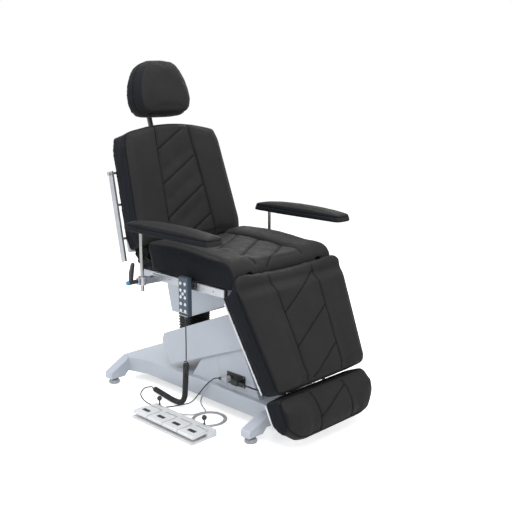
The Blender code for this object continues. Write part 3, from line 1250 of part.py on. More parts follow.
def arm_pad():
    """Padded armrest in the frame of its post, long side along X."""
    first = PAD_REAR - POST_X
    last = PAD_FRONT - POST_X
    lengths = [first + (last - first) * share
               for share in (0.0, 0.02, 0.06, 0.14, 0.3, 0.5, 0.7, 0.86, 0.94, 0.98, 1.0)]
    columns = (-1.0, -0.85, -0.55, 0.0, 0.55, 0.85, 1.0)

    def half(length):
        share = (length - first) / (last - first)
        return PAD_HALF * (0.80 + 0.28 * smooth_step(share / 0.45))

    shape = cushion(lengths, half, PAD_THICK - 0.022, 0.022, 0.030, columns, waist=0.004, edge=0.020,
                    fullness=(2.5, 2.6))
    bmesh.ops.translate(shape, verts=shape.verts, vec=(0.0, 0.0, PAD_Z + GAP))
    return shape


def clamp_lever():
    """Clamp lever: hub across the split clamp, upright handle and round end button, right side."""
    z = (CLAMP_Z[0] + CLAMP_Z[1]) / 2.0
    start = -POST_Y - CLAMP_EAR - GAP
    hub = rod((0.0, start, z), (0.0, -LEVER_REACH + 0.004, z), LEVER_RADIUS, 16)
    button = rod((0.0, -LEVER_REACH + 0.006, z), (0.0, -LEVER_REACH, z), LEVER_RADIUS * 0.95, 16,
                 LEVER_RADIUS * 0.6)
    profiles = []
    for height, half, inset in ((z, 0.0075, 0.018), ((z + LEVER_TOP) / 2.0, 0.0085, 0.022),
                                (LEVER_TOP - 0.006, 0.0070, 0.030), (LEVER_TOP, 0.0045, 0.031)):
        middle = -LEVER_REACH + inset
        corners = [(-half, middle - half, 0.003), (half, middle - half, 0.003),
                   (half, middle + half, 0.003), (-half, middle + half, 0.003)]
        profiles.append([Vector((u, v, height)) for u, v in rounded(corners, 2)])
    return union(hub, button, loft(profiles))


def make_armrests(steel, dark, vinyl, seat_space):
    for name, side in (("right", -1), ("left", 1)):
        post_axis = pivot(f"arm_post_axis_{name}", (POST_X, side * POST_Y, 0.0), parent=seat_space)
        post = rod((0.0, 0.0, POST_LOW), (0.0, 0.0, PAD_Z), POST_RADIUS, 16)
        add(f"arm_post_{name}", post, steel, post_axis)
        pad_axis = pivot(f"arm_pad_axis_{name}", (0.0, 0.0, 0.0), parent=post_axis)
        add(f"arm_pad_{name}", arm_pad(), vinyl, pad_axis)
        lever_axis = pivot(f"clamp_lever_axis_{name}", (POST_X, 0.0, 0.0), parent=seat_space)
        add(f"clamp_lever_{name}", mirrored(clamp_lever, side), dark, lever_axis)


# Panel, plugs and foot control

def power_panel():
    outer = -TOWER_HALF - GAP
    plate = box(PANEL_X, (outer - PANEL_PLATE, outer), PANEL_Z, 0.001)
    inlet = box((0.150, 0.196), (outer - PANEL_PLATE - INLET_RISE, outer - 0.001), (0.158, 0.188), 0.002)
    socket = rod((0.116, outer - 0.001, 0.172), (0.116, outer - PANEL_PLATE - SOCKET_RISE, 0.172), 0.011, 16)
    screws = []
    for x in (PANEL_X[0] + 0.006, PANEL_X[1] - 0.006):
        for z in (PANEL_Z[0] + 0.006, PANEL_Z[1] - 0.006):
            screws.append(rod((x, outer - 0.001, z), (x, outer - PANEL_PLATE - 0.0015, z), 0.003, 8))
    return union(plate, inlet, socket, *screws)


def mains_plug():
    body = box((0.153, 0.193), (PLUG_FACE - 0.026, PLUG_FACE), (0.161, 0.186), 0.004, 2)
    relief = rod((0.190, PLUG_FACE - 0.014, 0.1735), (0.226, PLUG_FACE - 0.014, 0.1735), 0.0085, 12, 0.0048)
    return union(body, relief)


def handset_connector():
    body = rod((0.116, SOCKET_FACE, 0.172), (0.116, SOCKET_FACE - 0.024, 0.172), 0.0125, 16)
    elbow = rod((0.116, SOCKET_FACE - 0.013, 0.172), (0.090, SOCKET_FACE - 0.013, 0.167), 0.009, 12)
    relief = rod((0.092, SOCKET_FACE - 0.013, 0.1674), (0.068, SOCKET_FACE - 0.013, 0.1628),
                 0.0065, 12, 0.0038)
    return union(body, elbow, relief)


def pedal_centre(index):
    pitch = (FOOT_CONTROL_X[1] - FOOT_CONTROL_X[0]) / PEDAL_COUNT
    return FOOT_CONTROL_X[0] + pitch * (index + 0.5)


def foot_control_base():
    body = box(FOOT_CONTROL_X, FOOT_CONTROL_Y, (0.0, FOOT_CONTROL_HEIGHT), 0.005, 2)
    shelf = box((FOOT_CONTROL_X[0] - 0.01, FOOT_CONTROL_X[1] + 0.01),
                (FOOT_CONTROL_Y[0] - 0.01, PEDAL_HINGE_Y - 0.0115), (PEDAL_FLOOR, 0.06))
    wells = []
    for index in range(PEDAL_COUNT):
        x = pedal_centre(index)
        wide = PEDAL_TAIL / 2.0 + PEDAL_SIDE
        wells.append(box((x - wide, x + wide), (PEDAL_HINGE_Y - 0.0125, PEDAL_HINGE_Y + 0.010),
                         (PEDAL_FLOOR, 0.06)))
    body = cut(body, shelf, *wells)
    posts = [rod((x, FOOT_CONTROL_Y[1] - 0.020, FOOT_CONTROL_HEIGHT - 0.002),
                 (x, FOOT_CONTROL_Y[1] - 0.020, FOOT_CONTROL_HEIGHT + BALL_POST), 0.008, 14)
             for x in BALL_X]
    gland = rod((FOOT_GLAND_X, FOOT_CONTROL_Y[1] - 0.003, 0.012),
                (FOOT_GLAND_X, FOOT_CONTROL_Y[1] + 0.012, 0.012),
                0.0065, 12, 0.0045)
    return union(body, gland, *posts)


def pedal():
    """Pedal plate with its tread, in the frame of its rear hinge."""
    half = PEDAL_SIZE[0] / 2.0
    tail_half = PEDAL_TAIL / 2.0
    depth = PEDAL_SIZE[1]
    rise = PEDAL_RISE
    plate = prism(rounded([(-depth, -0.002, 0.002), (-depth, rise, 0.004), (-0.0125, rise - 0.002, 0.001),
                           (-0.0125, 0.002, 0.001)], 1), "X", -half, half)
    tail = prism([(-0.0145, 0.003), (-0.0145, rise - 0.003), (-0.003, rise - 0.003), (0.0055, 0.003),
                  (0.0055, -0.0055), (-0.006, -0.0055)], "X", -tail_half, tail_half)
    reach = tail_half + PEDAL_SIDE - GAP
    hinge = rod((-reach, 0.0, 0.0), (reach, 0.0, 0.0), 0.004, 10)
    insert = box((-0.019, 0.019), (-depth + 0.030, -depth + 0.045), (rise - 0.004, rise + 0.0012), 0.0005)
    return union(plate, tail, hinge, insert)


def ball_lever():
    """Small lever on a ball foot, with a round knob, in the frame of its ball foot."""
    stem = rod((0.0, 0.0, 0.0), (0.0, 0.0, 0.020), 0.003, 10)
    shape = [stem]
    for height, radius in ((0.0, BALL_FOOT), (0.026, BALL_RADIUS)):
        ball = bmesh.new()
        bmesh.ops.create_uvsphere(ball, u_segments=10, v_segments=7, radius=radius)
        bmesh.ops.translate(ball, verts=ball.verts, vec=(0.0, 0.0, height))
        shape.append(ball)
    return union(*shape)


def make_controls(plastic, dark, pale):
    add("power_panel", power_panel(), dark)
    add("mains_plug", mains_plug(), dark)
    add("handset_connector", handset_connector(), plastic)
    add("foot_control_base", foot_control_base(), pale)
    for index in range(PEDAL_COUNT):
        hinge = pivot(f"pedal_axis_{index + 1}", (pedal_centre(index), PEDAL_HINGE_Y, PEDAL_HINGE_Z))
        add(f"pedal_{index + 1}", pedal(), pale, hinge)
    for name, x in (("rear", BALL_X[0]), ("front", BALL_X[1])):
        foot_z = FOOT_CONTROL_HEIGHT + BALL_POST + BALL_FOOT + GAP
        hinge = pivot(f"ball_axis_{name}", (x, FOOT_CONTROL_Y[1] - 0.020, foot_z))
        add(f"ball_lever_{name}", ball_lever(), dark, hinge)


# Cords

def spline_through(points, spacing):
    """Evenly spaced points of a smooth curve through the given points."""
    spots = [Vector(point) for point in points]
    padded = [spots[0] * 2.0 - spots[1]] + spots + [spots[-1] * 2.0 - spots[-2]]
    fine = []
    for before, start, end, after in zip(padded, padded[1:], padded[2:], padded[3:]):
        for step in range(24):
            t = step / 24.0
            fine.append(0.5 * (2.0 * start + (end - before) * t
                               + (2.0 * before - 5.0 * start + 4.0 * end - after) * t * t
                               + (3.0 * start - before - 3.0 * end + after) * t ** 3))
    fine.append(spots[-1])
    lengths = [0.0]
    for near, far in zip(fine, fine[1:]):
        lengths.append(lengths[-1] + (far - near).length)
    count = max(2, round(lengths[-1] / spacing))
    even = []
    position = 0
    for step in range(count + 1):
        wanted = lengths[-1] * step / count
        while position < len(fine) - 2 and lengths[position + 1] < wanted:
            position += 1
        run = lengths[position + 1] - lengths[position]
        even.append(fine[position].lerp(fine[position + 1], (wanted - lengths[position]) / max(run, 1e-9)))
    return even


def tube(name, points, diameter, finish, resolution):
    curve = bpy.data.curves.new(name, "CURVE")
    curve.dimensions = "3D"
    curve.bevel_depth = diameter / 2.0
    curve.bevel_resolution = resolution
    curve.render_resolution_u = 0
    curve.use_fill_caps = True
    line = curve.splines.new("POLY")
    line.points.add(len(points) - 1)
    for spot, point in zip(line.points, points):
        spot.co = (*point, 1.0)
    curve.materials.append(finish)
    made = bpy.data.objects.new(name, curve)
    bpy.context.collection.objects.link(made)
    return made


def curl(route, radius, turns, per_turn, straight):
    """Helix round a route, with straight ends of one cord diameter."""
    guide = spline_through(route, 0.004)
    total = len(guide) - 1
    points = []
    side = Vector((0.0, 1.0, 0.0))
    count = turns * per_turn
    for step in range(count + 1):
        place = 0.03 * total + 0.94 * total * step / count
        index = min(int(place), total - 1)
        here = guide[index].lerp(guide[index + 1], place - index)
        ahead = (guide[index + 1] - guide[index]).normalized()
        side = (side - ahead * side.dot(ahead)).normalized()
        other = ahead.cross(side)
        angle = 2.0 * math.pi * step / per_turn
        ease = min(1.0, step / per_turn, (count - step) / per_turn)
        points.append(here + (side * math.cos(angle) + other * math.sin(angle)) * radius * ease)
    return [guide[0], guide[0].lerp(points[0], 0.6)] + points + [guide[-1].lerp(points[-1], 0.6), guide[-1]]


def flat_coil(centre, radius, turns, diameter, start_angle, per_turn=24):
    """Clockwise spiral lying on the floor, wound from the outside in."""
    points = []
    count = round(turns * per_turn)
    for step in range(count + 1):
        turn = step / per_turn
        reach = radius - turn * diameter * 1.16
        angle = start_angle - 2.0 * math.pi * turn
        points.append(Vector((centre[0] + reach * math.cos(angle), centre[1] + reach * math.sin(angle),
                              diameter / 2.0 + 0.0005)))
    return points


def least_gap(points, diameter):
    """Least free space between stretches of one tube that aren't neighbours along it."""
    least = 1.0
    for index, point in enumerate(points):
        walked = 0.0
        for other in range(index + 1, len(points)):
            walked += (points[other] - points[other - 1]).length
            if walked > diameter * 2.5:
                least = min(least, (points[other] - point).length - diameter)
    return least


def stacked_coil(centre, radius, turns, diameter, start_angle, per_turn):
    """Two layers of a clockwise coil: wound inwards on the floor, then outwards on top of that."""
    points = []
    for layer in (0, 1):
        count = round(turns * per_turn)
        for step in range(count + 1):
            if layer and step == 0:
                continue
            turn = step / per_turn
            inward = turn if layer == 0 else turns - turn
            reach = radius - inward * diameter * 1.2
            angle = start_angle - 2.0 * math.pi * turn
            climb = smooth_step(turn / 0.2) if layer else 0.0
            points.append(Vector((centre[0] + reach * math.cos(angle),
                                  centre[1] + reach * math.sin(angle),
                                  diameter * (0.5 + 1.15 * climb) + 0.0005)))
    return points


def wall_plug():
    """Plug at the loose end of the mains lead, lying on the floor."""
    x, y, z = WALL_PLUG_AT
    body = box((x - 0.017, x + 0.017), (y - 0.018, y + 0.018), (0.0003, 0.026), 0.004, 2)
    relief = rod((x + 0.015, y, z), (x + 0.040, y, z), 0.0075, 12, 0.0045)
    pins = [rod((x - 0.015, y + side, z), (x - 0.036, y + side, z), 0.0024, 10) for side in (-0.0095, 0.0095)]
    return union(body, relief, *pins)


def make_cords(dark, grey):
    tube("handset_cord_top", spline_through(HANDSET_ROUTE_TOP, 0.012), HANDSET_CORD, dark, 1)
    helix = curl(CURL_ROUTE, (CURL_OUTER - HANDSET_CORD * 0.5) - 0.0005, CURL_TURNS, 8, HANDSET_CORD)
    tube("handset_cord_curl", helix, HANDSET_CORD * 0.8, dark, 1)
    print("handset_cord_curl least gap mm", round(least_gap(helix, HANDSET_CORD * 0.8) * 1000.0, 2))
    tube("handset_cord_low", spline_through(HANDSET_ROUTE_LOW, 0.014), HANDSET_CORD, dark, 1)
    loops = flat_coil(FOOT_COIL_AT, FOOT_COIL_RADIUS, FOOT_COIL_TURNS, FOOT_CABLE, math.pi, 12)
    line = spline_through(FOOT_ROUTE_IN, 0.012) + loops + spline_through(FOOT_ROUTE_OUT, 0.012)
    tube("foot_cable", line, FOOT_CABLE, grey, 1)
    print("foot_cable least gap mm", round(least_gap(line, FOOT_CABLE) * 1000.0, 2))
    loops = stacked_coil(MAINS_COIL_AT, MAINS_COIL_RADIUS, MAINS_COIL_TURNS, MAINS_CORD, -math.pi / 2.0, 12)
    line = spline_through(MAINS_ROUTE_IN, 0.020) + loops + spline_through(MAINS_ROUTE_OUT, 0.016)
    tube("mains_lead", line, MAINS_CORD, dark, 1)
    print("mains_lead least gap mm", round(least_gap(line, MAINS_CORD) * 1000.0, 2))
    add("wall_plug", wall_plug(), dark)


def make_chair():
    clear_scene()
    paint = material("painted_steel", (0.50, 0.54, 0.60), 0.45)
    steel = material("bright_steel", (0.66, 0.67, 0.68), 0.28, 1.0)
    dark = material("black_plastic", (0.025, 0.025, 0.028), 0.5)
    iron = material("dark_steel", (0.06, 0.06, 0.065), 0.5)
    panel = material("light_panel", (0.58, 0.60, 0.64), 0.45)
    rubber = material("black_rubber", (0.018, 0.018, 0.019), 0.75)
    vinyl = material("charcoal_vinyl", (0.035, 0.035, 0.038), 0.42)
    plastic = material("slate_plastic", (0.075, 0.105, 0.145), 0.4)
    pale = material("pale_plastic", (0.62, 0.63, 0.64), 0.4)
    grey = material("grey_cable", (0.35, 0.35, 0.36), 0.5)
    lift_axis = pivot("lift_axis", LIFT_AT, -ARM_TILT)
    carry_axis = pivot("carry_axis", CARRY_AT)
    seat_space = pivot("seat_space", -CARRY_AT, parent=carry_axis)
    back_axis = pivot("back_axis", (BACK_HINGE[0], 0.0, BACK_HINGE[1]), -BACK_TILT, seat_space)
    leg_axis = pivot("leg_axis", (LEG_HINGE[0], 0.0, LEG_HINGE[1]), -LEG_TILT, seat_space)
    make_base(paint, pale)
    make_tower(paint, iron, steel)
    make_lift(paint, steel, iron, rubber, lift_axis, carry_axis)
    make_carriage(paint, steel, iron, vinyl, plastic, seat_space)
    make_back(panel, steel, iron, vinyl, back_axis)
    make_leg(panel, steel, vinyl, leg_axis)
    make_armrests(steel, dark, vinyl, seat_space)
    make_controls(plastic, dark, pale)
    make_cords(dark, grey)
    for item in bpy.data.objects:
        if item.parent is None:
            item.location.x += CENTRE_SHIFT


make_chair()
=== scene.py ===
"""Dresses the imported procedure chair: upholstery, cords, finishes, studio light and camera."""
import math

import bmesh
import bpy
import numpy as np
from mathutils import Matrix, Vector
from mathutils.bvhtree import BVHTree
from mathutils.kdtree import KDTree


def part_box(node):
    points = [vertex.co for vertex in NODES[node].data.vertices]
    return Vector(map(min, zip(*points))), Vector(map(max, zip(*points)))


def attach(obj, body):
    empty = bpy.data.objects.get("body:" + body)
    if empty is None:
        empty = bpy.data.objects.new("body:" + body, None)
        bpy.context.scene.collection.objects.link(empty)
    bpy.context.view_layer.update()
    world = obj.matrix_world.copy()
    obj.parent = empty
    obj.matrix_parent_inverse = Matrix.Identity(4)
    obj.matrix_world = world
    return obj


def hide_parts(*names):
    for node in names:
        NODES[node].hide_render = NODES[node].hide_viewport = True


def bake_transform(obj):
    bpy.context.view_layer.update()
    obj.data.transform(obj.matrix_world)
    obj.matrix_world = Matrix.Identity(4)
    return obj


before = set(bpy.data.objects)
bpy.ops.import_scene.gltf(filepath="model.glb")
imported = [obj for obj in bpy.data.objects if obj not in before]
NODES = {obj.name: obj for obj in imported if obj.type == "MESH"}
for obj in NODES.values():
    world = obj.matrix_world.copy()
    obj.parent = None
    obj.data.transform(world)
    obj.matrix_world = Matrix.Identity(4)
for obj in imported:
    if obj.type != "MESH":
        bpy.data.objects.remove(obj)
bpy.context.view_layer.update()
SCENE = bpy.context.scene

# Places repeated from the part's source, in metres
SHIFT = 0.0138
BACK_TILT = math.radians(17.0)
LEG_TILT = math.radians(25.0)
HEAD_TILT = math.radians(3.5)
BACK_HINGE = (-0.289 + SHIFT, 0.0, 0.650)
LEG_HINGE = (0.235 + SHIFT, 0.0, 0.655)
BACK = Matrix.Translation(BACK_HINGE) @ Matrix.Rotation(-BACK_TILT, 4, "Y")
LEG = Matrix.Translation(LEG_HINGE) @ Matrix.Rotation(-LEG_TILT, 4, "Y")
HEAD_PIVOT = (-0.090, 0.0, 0.758)
HEADREST_SEAT = (0.0403, 0.0, 0.0)
HEAD = (BACK @ Matrix.Translation(HEAD_PIVOT) @ Matrix.Rotation(HEAD_TILT, 4, "Y")
        @ Matrix.Translation(HEADREST_SEAT))
SEAT = Matrix.Translation((SHIFT, 0.0, 0.0))
GAP = 0.0003
TOWER_HALF = 0.140
PANEL_PLATE = 0.004
PANEL_BEAD = 0.0015
INLET_RISE = 0.006
SOCKET_RISE = 0.005
PLUG_FACE = -TOWER_HALF - GAP - PANEL_PLATE - INLET_RISE - GAP
SOCKET_FACE = -TOWER_HALF - GAP - PANEL_PLATE - SOCKET_RISE - GAP
PLUG_AXIS_Y = PLUG_FACE - 0.014
SOCKET_AXIS_Y = SOCKET_FACE - 0.013

# Lift, housing and gusset
LIFT_AT = (0.0985, 0.0, 0.375)
ARM_TILT = math.radians(22.5)
ARM_LENGTH = 0.405
ARM_TOP = 0.068
HOUSING_FLOOR = 0.372
BELLOWS_HALF = (0.042, 0.060)
BELLOWS_RIBS = 7
BELLOWS_PER_RIB = 10
BELLOWS_RISE = 0.0045
BELLOWS_WALL = 0.0030
BELLOWS_CORNER = 0.010
BELLOWS_CLEAR = 0.0005
GUSSET_REAR_LOW = (-0.328, 0.6010)
GUSSET_FRONT_LOW = (-0.2185, 0.6010)
GUSSET_TAIL = (-0.3555, 0.6730)
GUSSET_NOSE = (-0.2560, 0.7060)
GUSSET_ALONG = 22
GUSSET_UP = 36
GUSSET_OUTSIDE = 0.264
GUSSET_INSIDE = 0.256
GUSSET_FOLDS = 2.5
GUSSET_FOLD_DEPTH = 0.012
GUSSET_RIPPLE = 0.0010
GUSSET_RISE = 0.020
GUSSET_HEM = ((0.0, -0.262, 0.6008), (0.008, 0.262, 0.6126))

# Handset, rails, levers and foot control
HANDSET_FACE = -0.3365
HANDSET_X = (0.017, 0.074)
HANDSET_Z = (0.470, 0.634)
KEY_PITCH = 0.0285
KEY_SIDE = 0.0135
KEY_ROWS = 5
KEY_FIRST = HANDSET_Z[1] - 0.026
KEY_RADIUS = 0.0070
KEY_HEIGHT = 0.0028
KEY_RIM_RADIUS = 0.0082
KEY_RIM_HEIGHT = 0.0010
STRIP_INSET = 0.0030
STRIP_Z = (0.4745, 0.4850)
STRIP_EDGE = 0.0016
STRIP_EDGES_Z = (0.4722, 0.4858)
RAIL_Y = 0.300
RAIL_FRONT = 0.250
RAIL_Z = (0.577, 0.611)
RAIL_CAP_Y = (0.2856, 0.3004)
RAIL_CAP = 0.0070
RAIL_SCREWS_X = (-0.085, 0.005, 0.130, 0.188)
PANEL_SCREWS_X = (0.102, 0.201)
PANEL_SCREWS_Z = (0.154, 0.193)
BOOT_START = (0.0900 + SHIFT, SOCKET_AXIS_Y, 0.1670)
BOOT_END = (0.0655 + SHIFT, SOCKET_AXIS_Y, 0.1623)
BOOT_RIBS = [(0.0, 0.0072), (0.10, 0.0078), (0.22, 0.0078), (0.28, 0.0064), (0.36, 0.0064), (0.42, 0.0072),
             (0.56, 0.0070), (0.62, 0.0057), (0.70, 0.0057), (0.76, 0.0063), (0.90, 0.0060), (1.0, 0.0048)]
FOOT_CONTROL_X = (-0.168, 0.226)
PEDAL_FRONT = -0.451
POST_X = -0.161
LEVER_REACH = 0.460
CLAMP_MIDDLE = 0.594
PEDALS = 4
INSERT_HALF = 0.0195
INSERT_Y = (PEDAL_FRONT + 0.0295, PEDAL_FRONT + 0.0455)
INSERT_Z = (0.0352, 0.0380)
TREADS = 7
TREAD_PITCH = 0.0055
TREAD_HALF = 0.0012
TREAD_Y = (PEDAL_FRONT + 0.0310, PEDAL_FRONT + 0.0440)
TREAD_Z = (0.0375, 0.0386)
NEAR = (0.0, -1.0, 0.0)

# Edging of the legrest's and footrest's boards, as (y, z) in the legrest's frame
EDGE_REAR = -0.0155
EDGE_FRONT = -0.0085
EDGE_DEPTH = 0.0100
EDGE_ROUND = 0.0018
LEG_EDGE = [(0.3135, -0.098), (0.3080, -0.140), (0.2945, -0.260), (0.2810, -0.380), (0.2700, -0.478)]
FOOT_EDGE = [(0.2675, -0.522), (0.2675, -0.560), (0.2665, -0.588), (0.2620, -0.606), (0.2530, -0.622),
             (0.2400, -0.634), (0.2200, -0.641)]

# Seams, as (y, z) on the back, legrest and footrest, and (y, x) on the seat
BACK_LONG_SEAM = [(0.134, 0.055), (0.118, 0.27), (0.096, 0.575)]
BACK_BARS = [[(-0.130, 0.150), (0.116, 0.288)], [(-0.117, 0.306), (0.105, 0.430)],
             [(-0.104, 0.466), (0.052, 0.556)], [(0.000, 0.085), (0.126, 0.150)]]
LEG_LONG_SEAM = [(0.128, -0.040), (0.120, -0.200), (0.111, -0.350), (0.103, -0.485)]
LEG_BARS = [[(-0.120, -0.200), (0.124, -0.062)], [(-0.111, -0.345), (0.119, -0.212)],
            [(-0.070, -0.478), (0.110, -0.372)]]
FOOT_LONG_SEAM = [(0.097, -0.522), (0.096, -0.680)]
FOOT_BARS = [[(-0.096, -0.632), (0.096, -0.544)]]
SEAT_LONG_SEAM = [(0.148, -0.215), (0.147, 0.0), (0.142, 0.200), (0.138, 0.270)]
SEAT_BARS = [[(-0.146, 0.035), (0.146, -0.140)], [(-0.146, 0.175), (0.146, 0.000)],
             [(-0.085, 0.280), (0.146, 0.140)]]
SEAT_OVER = 0.7
SEAM_WIDTH = 0.0042
RIM_WIDTH = 0.0030
SEAM_STEP = 0.002
RIM_STEP = 0.0025
CAST_FROM = 0.4
# Radius of the near-black tube of painted crease shade in each seam groove
SEAM_SHADE_RADIUS = 0.0013
STITCH_AWAY = 0.0055
STITCH_HALF = 0.0016
STITCH_RISE = 0.00055
STITCH_SINK = 0.0002
STITCH_RADIUS = 0.00038

# Cushions
X = 0
Z = 2
SWELL = {"quality": 3, "mass": 0.35, "tension_stiffness": 20.0, "compression_stiffness": 20.0,
         "shear_stiffness": 8.0, "bending_stiffness": 2.0, "use_pressure": True,
         "uniform_pressure_force": 8.0, "vertex_group_mass": "held"}
SWELL_FRAMES = 12
SWELL_SINK = 0.0008
BACK_DISH = 0.005
BACK_DISH_HALF = 0.150
HEAD_BULGE = 0.066
HEAD_BULGE_X = 0.036
LEG_WIDER = 1.022
LEG_CORNER = 0.050
FOOT_LONGER = 0.004

# Camera and studio
CAMERA_AT = (2.5132, -2.3824, 1.4151)
CAMERA_TO = (0.0619, 0.0812, 0.6585)
CAMERA_LENS = 57.03
CAMERA_SENSOR = 36.0
LAMPS = [("key", (2.2, -1.6, 3.4), 2.2, 95.0), ("fill", (-1.8, -2.6, 2.6), 2.4, 40.0),
         ("top", (0.0, 0.6, 3.6), 2.6, 70.0), ("rim", (-1.6, 2.4, 2.4), 1.8, 30.0)]
LAMPS_TO = (0.0, 0.0, 0.55)
DOME_COLOUR = (0.97, 0.985, 1.0, 1.0)
DOME_STRENGTH = 0.52
WHITE = (1.0, 1.0, 1.0, 1.0)
FLOOR_HALF = 9.0
FLOOR_COLOUR = (0.86, 0.86, 0.86)
FLOOR_GLOW = 0.58

# Cords
HANDSET_CORD = 0.005
CORD_STEP = 0.006
CURL_CORD = 0.004
CURL_RADIUS = 0.0105
CURL_TURNS = 88
CURL_PER_TURN = 16
CURL_LEAD = 0.045
FOOT_CABLE = 0.005
FOOT_COIL_RADIUS = 0.078
FOOT_COIL_TURNS = 3
FOOT_COIL_AT = (0.083, -0.238)
FOOT_COIL_PITCH = 1.16
FOOT_COIL_PER_TURN = 32
MAINS_CORD = 0.007
MAINS_COIL_RADIUS = 0.053
MAINS_COIL_TURNS = 3
MAINS_COIL_AT = (0.205, 0.262)
MAINS_STEP = 0.008
MAINS_COIL_PITCH = 1.2
MAINS_COIL_LAYER = 1.15
MAINS_COIL_CLIMB = 0.2
MAINS_COIL_PER_TURN = 28
FLOOR_CLEAR = 0.0005
SPLINE_STEPS = 24
HANDSET_ROUTE_TOP = [(0.0455, -0.3245, 0.4577), (0.0455, -0.3245, 0.430), (0.044, -0.3235, 0.370),
                     (0.040, -0.3205, 0.310), (0.034, -0.3165, 0.282)]
CURL_ROUTE = [(0.034, -0.3165, 0.2815), (0.020, -0.3075, 0.220), (-0.006, -0.2905, 0.140),
              (-0.040, -0.2680, 0.075), (-0.095, -0.2440, 0.030), (-0.165, -0.2280, 0.0145),
              (-0.240, -0.2170, 0.0142), (-0.310, -0.2060, 0.0142), (-0.352, -0.1990, 0.0142)]
HANDSET_ROUTE_LOW = [(-0.3529, -0.19885, 0.0142), (-0.3647, -0.1972, 0.0138), (-0.389, -0.218, 0.006),
                     (-0.352, -0.268, 0.0032), (-0.292, -0.300, 0.0032), (-0.225, -0.3145, 0.0032),
                     (-0.165, -0.3050, 0.0032), (-0.135, -0.262, 0.0032), (-0.118, -0.218, 0.0036),
                     (-0.088, -0.189, 0.016), (-0.050, -0.180, 0.060), (-0.008, -0.1725, 0.112),
                     (0.036, -0.1650, 0.1520), (0.0675, SOCKET_AXIS_Y, 0.1627)]
FOOT_ROUTE_IN = [(-0.030, -0.3094, 0.012), (-0.030, -0.3010, 0.0118), (-0.022, -0.280, 0.0045),
                 (-0.004, -0.262, 0.0031), (0.0038, -0.249, 0.0030)]
FOOT_ROUTE_OUT = [(0.0235, -0.229, 0.0045), (0.0265, -0.219, 0.0085), (0.0255, -0.209, 0.0092),
                  (0.017, -0.199, 0.0092), (0.004, -0.190, 0.0092), (-0.016, -0.180, 0.0060),
                  (-0.036, -0.168, 0.0036), (-0.070, -0.148, 0.0032), (-0.100, -0.122, 0.0045),
                  (-0.116, -0.096, 0.018), (-0.120, -0.0852, 0.050), (-0.120, -0.085, 0.0797)]
MAINS_ROUTE_IN = [(0.2263, PLUG_AXIS_Y, 0.1735), (0.250, PLUG_AXIS_Y, 0.1735),
                  (0.285, -0.160, 0.171), (0.314, -0.126, 0.158), (0.322, -0.080, 0.137),
                  (0.322, -0.030, 0.1255), (0.320, 0.040, 0.1245), (0.316, 0.110, 0.1265),
                  (0.312, 0.160, 0.1285), (0.305, 0.186, 0.108), (0.296, 0.197, 0.060),
                  (0.282, 0.201, 0.020), (0.262, 0.203, 0.0060), (0.240, 0.2045, 0.0040)]
MAINS_ROUTE_OUT = [(0.184, 0.2098, 0.0115), (0.166, 0.2110, 0.0105), (0.148, 0.2125, 0.0085),
                   (0.132, 0.2140, 0.0100), (0.1159, 0.2150, 0.0130)]


# Materials

EVEN = (1.0, 1.0, 1.0)
# Span of the sideways normal over which the painted side shade comes in
SIDE_SHADE_RANGE = (0.62, 0.97)
DULL = 0.05


def shader_of(made):
    return made.node_tree.nodes["Principled BSDF"]


def principled(name, colour, roughness, metallic=0.0):
    made = bpy.data.materials.new(name)
    made.use_nodes = True
    shader = shader_of(made)
    shader.inputs["Base Color"].default_value = (*colour, 1.0)
    shader.inputs["Roughness"].default_value = roughness
    shader.inputs["Metallic"].default_value = metallic
    return made


def shader_node(tree, kind, **values):
    """A new node with some inputs set; in an input's name, underscores stand for spaces."""
    made = tree.nodes.new("ShaderNode" + kind)
    for name, value in values.items():
        made.inputs[name.replace("_", " ")].default_value = value
    return made


def texture(tree, kind, scale, stretch=EVEN, detail=3.0):
    """A procedural texture in the part's own metres; returns the socket with its value."""
    place = shader_node(tree, "TexCoord")
    fit = shader_node(tree, "Mapping", Scale=stretch)
    tree.links.new(place.outputs["Object"], fit.inputs["Vector"])
    if kind == "cells":
        made = shader_node(tree, "TexVoronoi", Scale=scale)
        made.feature = "DISTANCE_TO_EDGE"
        result = made.outputs["Distance"]
    else:
        made = shader_node(tree, "TexNoise", Scale=scale, Detail=detail)
        result = made.outputs["Fac"]
    tree.links.new(fit.outputs["Vector"], made.inputs["Vector"])
    return result


def spread(tree, value, low, high, from_low=0.3, from_high=0.7):
    """Stretches a texture's value to a range."""
    made = shader_node(tree, "MapRange", From_Min=from_low, From_Max=from_high, To_Min=low, To_Max=high)
    tree.links.new(value, made.inputs["Value"])
    return made.outputs["Result"]


def colour_mix(tree):
    """A mix of two colours; returns its sockets for the share, both colours and the result."""
    mix = shader_node(tree, "Mix")
    mix.data_type = "RGBA"
    return mix.inputs[0], mix.inputs[6], mix.inputs[7], mix.outputs[2]


def tone(made, colour, other, scale):
    """Lets the colour drift between two shades."""
    tree = made.node_tree
    share, first, second, result = colour_mix(tree)
    first.default_value = (*colour, 1.0)
    second.default_value = (*other, 1.0)
    drift = texture(tree, "noise", scale, detail=5.0)
    tree.links.new(spread(tree, drift, 0.0, 1.0), share)
    tree.links.new(result, shader_of(made).inputs["Base Color"])


def rough(made, low, high, scale, stretch=EVEN):
    tree = made.node_tree
    value = spread(tree, texture(tree, "noise", scale, stretch, 4.0), low, high)
    tree.links.new(value, shader_of(made).inputs["Roughness"])


